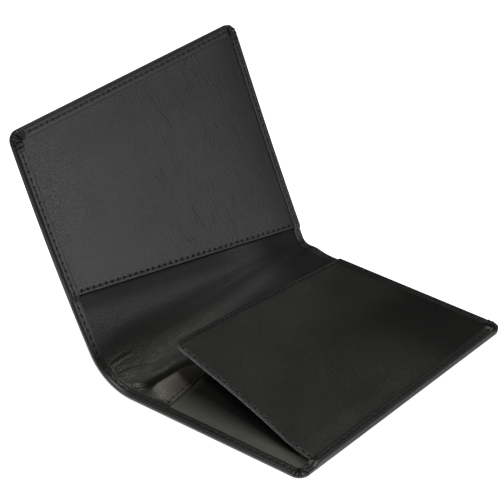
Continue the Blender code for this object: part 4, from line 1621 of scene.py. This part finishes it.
@dataclass
class FlapPocket:
    """The right cover's pocket: leather and lining sewn on two sides, its free corner lifted."""

    shape: WalletShape
    near_edge: float = 11.0
    spine_edge: Pair = (25.7, 17.7)
    leather: float = 0.5
    lining: float = 0.35
    lining_gap: float = 0.06
    lining_inset: float = 0.05
    under: float = 2.1
    level: float = 3.35
    seam: float = 1.7
    stitch_start: float = 0.3
    stitch_ends: Pair = (98.6, 132.6)
    lift: Pair = (27.8, 17.8)
    bend_before: float = 5.5
    bend_after: float = 12.5
    reach: float = 62.0
    bend_ends: tuple[Pair, Pair] = ((101.3, 11.6), (18.6, 135.4))
    blend_at: float = 75.0
    blend_reach: Pair = (0.5, 6.0)
    body_columns: int = 56
    edge_rings: tuple[float, ...] = (0.0, 0.22, 0.45, 0.7, 1.0, 1.3, 1.6, 1.85, 2.0, 2.15, 2.4,
                                     2.8, 3.4, 4.0, 4.9)
    tack_place: float = 102.6
    tack_span: Pair = (0.2, 3.4)

    def bending_line(self) -> tuple[np.ndarray, np.ndarray, np.ndarray]:
        """The bending line's near outer end, its direction and the way to the free corner.

        Returns:
            One place and two directions of length 1, on the flat.
        """
        first, last = (np.array(end) for end in self.bend_ends)
        along = (last - first) / np.linalg.norm(last - first)
        across = np.array([-along[1], along[0]])
        if across @ (np.array([self.spine_edge[0], self.near_edge]) - first) < 0:
            across = -across
        return first, along, across

    def profile(self) -> tuple[np.ndarray, np.ndarray, np.ndarray, np.ndarray]:
        """Distance from the bending line, the leather's angle there, and how far out and up.

        Returns:
            Four rows of the same length: distance, angle, out and up.
        """
        d = np.linspace(-self.bend_before, 80.0, 1200)
        slope = self.lift[0] + (self.lift[1] - self.lift[0]) * d / self.reach
        angle = np.radians(fade(d, -self.bend_before, self.bend_after) * slope)

        def along(rate: np.ndarray) -> np.ndarray:
            """Running sum of a rate over the distance."""
            return np.concatenate([[0], np.cumsum((rate[1:] + rate[:-1]) / 2 * (d[1] - d[0]))])
        return d, angle, d[0] + along(np.cos(angle)), along(np.sin(angle))

    def bend(self, flat: Places) -> Places:
        """Lifts the free corner about the bending line, then folds the wallet.

        Args:
            flat: places as rows of u, v, w.

        Returns:
            The same places in the wallet, in metres.
        """
        first, _, across = self.bending_line()
        d, angle, out, up = self.profile()
        distance = (flat[:, :2] - first) @ across
        theta = np.interp(distance, d, angle)
        height = flat[:, 2] - self.level
        moved = np.interp(distance, d, out) - height * np.sin(theta)
        raised = np.interp(distance, d, up) + height * np.cos(theta)
        flat_part = distance < d[0]
        lifted = flat.copy()
        shift = np.where(flat_part, 0.0, moved - distance)
        lifted[:, :2] += shift[:, None] * across
        lifted[:, 2] = self.level + np.where(flat_part, height, raised)
        return self.shape.fold(lifted)

    def edge_distances(self, u: np.ndarray, v: np.ndarray) -> tuple[np.ndarray, np.ndarray]:
        """Distances from the near edge and from the spine edge."""
        return v - self.near_edge, u - self.shape.between(self.spine_edge, v)

    def edge_line(self, u: np.ndarray, v: np.ndarray) -> np.ndarray:
        """Distance from the nearer open edge, round the free corner.

        Args:
            u: flat places across the wallet.
            v: flat places along the spine.

        Returns:
            Distance of each place.
        """
        near, spine = self.edge_distances(u, v)
        reach = self.edge_rings[-1]
        corner = reach - np.hypot(np.maximum(reach - near, 0), np.maximum(reach - spine, 0))
        return np.where((near < reach) & (spine < reach), corner, np.minimum(near, spine))

    def top(self, u: np.ndarray, v: np.ndarray) -> np.ndarray:
        """Height of the flap's face before it is lifted, in millimetres.

        Args:
            u: flat places across the wallet.
            v: flat places along the spine.

        Returns:
            Height of each place, in millimetres.
        """
        inset = np.minimum(self.shape.cover_width - u, self.shape.cover_height - v)
        line = self.edge_line(u, v)
        seam = (0.14 * hump(line - 1.0, 0.5) - 0.22 * hump(line - self.seam, 0.38)
                - 0.16 * fade(line, 0.55, 0))
        soft = 0.16 * np.sin(u * 0.09 + 0.5) * np.sin(v * 0.07) + 0.05 * np.sin(u * 0.21 + v * 0.17)
        low = self.shape.rim_top - 0.12
        swell = (self.level - low + soft) * fade(inset, 4.8, 13.8)
        return self.under + (low - self.under + seam + swell) * self.shape.risen(inset)

    def grid(self, inner: float) -> tuple[np.ndarray, np.ndarray]:
        """Flat places of the columns and rows, the open edges drawn in by inner.

        Args:
            inner: how far the open edges are drawn in.

        Returns:
            Place across and place along the spine of each grid point.
        """
        rings, near = self.edge_rings, self.near_edge + inner
        far = self.shape.cover_height - self.shape.side_tuck
        rows = np.array([near + x for x in rings] + steps(self.near_edge + 6.2, far - 6.0, 1.3)
                        + [far - x for x in TUCKED_COLUMNS[1:]])
        start = self.shape.between(self.spine_edge, rows) + inner
        edge, last = self.shape.outer_columns(), rings[-1]
        u = np.array([start + x for x in rings]
                     + [start + last + (edge[0] - start - last) * share
                        for share in np.linspace(0, 1, self.body_columns + 2)[1:-1]]
                     + [np.full(len(rows), x) for x in edge])
        v = np.repeat(rows[None], len(u), 0)
        count = len(rings) - 1
        for i, j in np.ndindex(count, count):
            radius, angle = last - rings[min(i, j)], turn_in_corner(count, i, j)
            v[i, j] = near + last - radius * math.cos(angle)
            u[i, j] = (float(self.shape.between(self.spine_edge, v[i, j])) + inner
                       + last - radius * math.sin(angle))
        return u, v

    def sheets(self) -> list[Piece]:
        """Models the flap's leather and the lining behind it.

        Returns:
            The leather and the lining.
        """
        u, v = self.grid(0.0)
        near, spine = self.edge_distances(u, v)
        line = self.edge_line(u, v)
        sheet = LaidSheet.on_grid(u, v, self.top(u, v))
        sheet.sew_along(np.where(near < spine, u - self.spine_edge[0], v), line - self.seam)
        # A pale line along the near edge's rounding, a painted highlight with edge wear; painted
        # shade over the flap's far outer part, and a painted shadow line along its spine edge.
        sheet.wear_and_highlight = 2.6 * hump(line, 0.25) * fade(spine - near, -1.5, 1.5)
        far_painted_shade = 0.75 * fade(v, 72, 117) * fade(u, 30, 65)
        spine_painted_shadow = hump(spine - 0.1, 0.3) * fade(near - spine, -1.5, 1.5)
        sheet.painted_shade = np.maximum(far_painted_shade, spine_painted_shadow)
        leather = sheet.build("flap_pocket_leather", self.leather, self.bend, soften=0.18)
        u, v = self.grid(self.lining_inset)
        below = np.minimum(self.top(u, v), self.level) - self.leather - self.lining_gap
        sheet = LaidSheet.on_grid(u, v, below)
        # Painted highlight along the lining's open edges.
        sheet.wear_and_highlight = hump(self.edge_line(u, v), 0.5)
        return [leather, sheet.build("flap_pocket_lining", self.lining, self.bend, soften=0.12)]

    def edge_stitches(self) -> Piece:
        """Sews the flap's two open edges.

        Returns:
            The finished seam.
        """
        line, (outer, far) = self.near_edge + self.seam, self.stitch_ends
        turn, end = (float(self.shape.between(self.spine_edge, v)) + self.seam
                     for v in (self.near_edge, far))
        name = "flap_edge_stitches"
        rows = [ThreadStitch().sew(name, SeamPath(corners, self.shape.stitch_pitch,
                                                  self.stitch_start), self.top, self.bend)
                for corners in ([(outer, line), (turn, line)], [(turn, line), (end, far)])]
        return join(rows, name)

    def bar_tack(self) -> Piece:
        """Sews the bar tack: close stitches across the near end of the flap's outer edge.

        Returns:
            The finished bar tack.
        """
        def level(u: np.ndarray, v: np.ndarray) -> np.ndarray:
            """Height of the rim under the bar tack."""
            return np.full_like(u, self.shape.rim_top + 0.02)
        corners = [(self.tack_place, self.near_edge + x) for x in self.tack_span]
        stitch = ThreadStitch(length=1.9, width=0.42, height=0.5, dive=0.3)
        return stitch.sew("flap_bar_tack_stitches", SeamPath(corners, 0.4, direction=(1.0, 0.08)),
                          level, self.shape.fold)

    def build(self, finishes: Finishes) -> list[Piece]:
        """Models leather, lining, stitches and bar tack, dressed, the bar tack joined to the right
        cover's body.

        Args:
            finishes: the wallet's finishes.

        Returns:
            The finished pieces.
        """
        leather, backing = self.sheets()
        sewing, tack = self.edge_stitches(), self.bar_tack()
        dress(leather, finishes.flap)
        dress(backing, finishes.backing)
        first, along, across = self.bending_line()
        middle, (before, after) = first + along * self.blend_at, self.blend_reach
        start = self.shape.place(*(middle - across * before), self.level)
        end = self.shape.place(*(middle + across * after), self.level)
        for piece in (leather, backing, sewing):
            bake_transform(piece)
        for piece in (sewing, tack):
            dress(piece, finishes.thread)
        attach(tack, Body.RIGHT.value)
        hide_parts("flap_leather", "flap_corner_leather")
        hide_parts("flap_lining", "flap_corner_lining")
        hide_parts("flap_edge_thread")
        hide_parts("flap_bar_tack")
        return [leather, backing, sewing, tack]


@dataclass
class Boards:
    """The two stiffener boards between the leathers, carried over from the solid model."""

    nodes: tuple[str, str] = ("right_stiffener", "left_stiffener")

    def build(self, finishes: Finishes) -> list[Piece]:
        """Gives both boards their finish.

        Args:
            finishes: the wallet's finishes.

        Returns:
            The two boards.
        """
        boards = [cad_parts[name] for name in self.nodes]
        for board in boards:
            for holder in board.material_slots:
                holder.material = finishes.board
        return boards


@dataclass(frozen=True)
class Softbox:
    """A square area light that faces the wallet: its place and size in metres, and its power."""

    name: str
    place: Triple
    size: float
    power: float
    colour: Triple
    aim: Triple = (0.0, 0.0, 0.03)

    def build(self) -> None:
        """Adds the light."""
        data = bpy.data.lights.new(self.name, "AREA")
        data.color = self.colour
        data.shape = "SQUARE"
        data.size = self.size
        data.energy = self.power
        lamp = bpy.data.objects.new(self.name, data)
        lamp.location = self.place
        facing = Vector(self.aim) - Vector(self.place)
        lamp.rotation_euler = facing.to_track_quat("-Z", "Y").to_euler()
        bpy.context.collection.objects.link(lamp)


@dataclass
class Studio:
    """White table, dim room, soft lights, and the photograph's camera.

    Table and room look nearly white to the camera, and dimmer to the leather. Two pools of light
    on the table, in metres, brighten it round the wallet and in front of it.
    """

    azimuth: float = 39.005
    elevation: float = 31.516
    place: Triple = (0.552362, -0.71868, 0.609011)
    lens: float = 185.69
    sensor: float = 36.0
    clip: Pair = (0.01, 50.0)
    floor_size: float = 6.0
    floor_gap: float = 0.0002
    floor_colour: Colour = (225, 225, 225)
    floor_seen: float = 0.95
    floor_dim: tuple[float, ...] = (0.03, 0.03, 0.03, 1.0)
    pools: tuple[tuple[Triple, Triple, Pair, tuple[float, ...]], ...] = (
        ((1.0, 1.0, 1.0), (0.03, 0.03, 0.0), (0.14, 0.36), (0.32, 0.325, 0.335, 1.0)),
        ((0.5, 1.0, 1.0), (0.0, 0.1, 0.0), (0.03, 0.08), (1.2, 1.22, 1.28, 1.0)),
    )
    room_seen: float = 0.9
    room_dim: float = 0.02
    softboxes: tuple[Softbox, ...] = (
        Softbox("right_softbox", (0.62, 0.38, 0.16), 0.3, 1.03, (0.97, 0.99, 1.0)),
        Softbox("left_softbox", (-0.5, -0.2, 0.4), 0.3, 0.3, (1.0, 1.0, 0.98)),
        Softbox("overhead_softbox", (0.0, -0.05, 0.55), 0.35, 1.86, (1.0, 1.0, 0.97)),
        Softbox("back_softbox", (-0.05, 0.25, 0.6), 0.35, 0.34, (1.0, 0.97, 0.93)),
        Softbox("far_softbox", (-0.1, 0.8, 0.35), 0.35, 0.18, (1.0, 0.98, 0.95)),
    )

    def floor(self) -> None:
        """Makes the white floor."""
        deselect()
        bpy.ops.mesh.primitive_plane_add(size=self.floor_size, location=(0, 0, -self.floor_gap))
        floor = bpy.context.object
        floor.name = "studio_floor"
        made, tree, shader = Tree.material("white_table")
        where = tree.add("ShaderNodeTexCoord").outputs["Object"]
        # The table glows as painted light: near white to camera rays, and dim to the wallet except
        # for two glowing pools that light it.
        lit: Value = self.floor_dim
        for scale, shift, (full, end), colour in self.pools:
            away = tree.length(tree.stretched(where, scale, shift))
            lit = tree.mix(tree.ramp(away, full, end, 1.0, 0.0), lit, colour)
        seen = tree.add("ShaderNodeLightPath").outputs["Is Camera Ray"]
        tree.feed(shader, {"Base Color": linear(*self.floor_colour), "Roughness": 0.9,
                           "Specular IOR Level": 0.0, "Emission Strength": 1.0,
                           "Emission Color": tree.mix(seen, lit, (*[self.floor_seen] * 3, 1.0))})
        floor.data.materials.append(made)

    def world(self) -> None:
        """Room light: nearly dark, and pale where the camera sees it."""
        world = bpy.data.worlds.new("studio_room")
        bpy.context.scene.world = world
        world.use_nodes = True
        tree = Tree(world.node_tree)
        seen = tree.add("ShaderNodeLightPath").outputs["Is Camera Ray"]
        colour = tree.mix(seen, (*[self.room_dim] * 3, 1.0), (*[self.room_seen] * 3, 1.0))
        back = tree.add("ShaderNodeBackground", {"Color": colour, "Strength": 1.0})
        tree.add("ShaderNodeOutputWorld", {"Surface": back.outputs[0]})

    def camera(self) -> None:
        """Sets the camera at the photograph's viewing angle."""
        data = bpy.data.cameras.new("photo_camera")
        data.lens = self.lens
        data.sensor_width = self.sensor
        data.clip_start, data.clip_end = self.clip
        camera = bpy.data.objects.new("photo_camera", data)
        bpy.context.collection.objects.link(camera)
        camera.location = self.place
        camera.rotation_euler = (QUARTER_TURN - math.radians(self.elevation), 0,
                                 math.radians(self.azimuth))
        bpy.context.scene.camera = camera

    def build(self) -> None:
        """Sets up floor, room, lights and camera."""
        self.floor()
        self.world()
        for softbox in self.softboxes:
            softbox.build()
        self.camera()
        bpy.context.scene.view_settings.view_transform = "Standard"


def main() -> None:
    """Builds the wallet piece by piece, dresses it and sets up the studio."""
    logging.basicConfig(level=logging.INFO, format="%(name)s: %(message)s")
    shape = WalletShape()
    finishes = Finishes.make()
    for part in (OuterCover(shape), InnerLining(shape), SlipPocket(shape), BaseLining(shape),
                 FlapPocket(shape), Boards()):
        for piece in part.build(finishes):
            log.info("%s: %s, %d faces", type(part).__name__, piece.name,
                     len(piece.data.polygons))
    Studio().build()


if __name__ == "__main__":
    main()
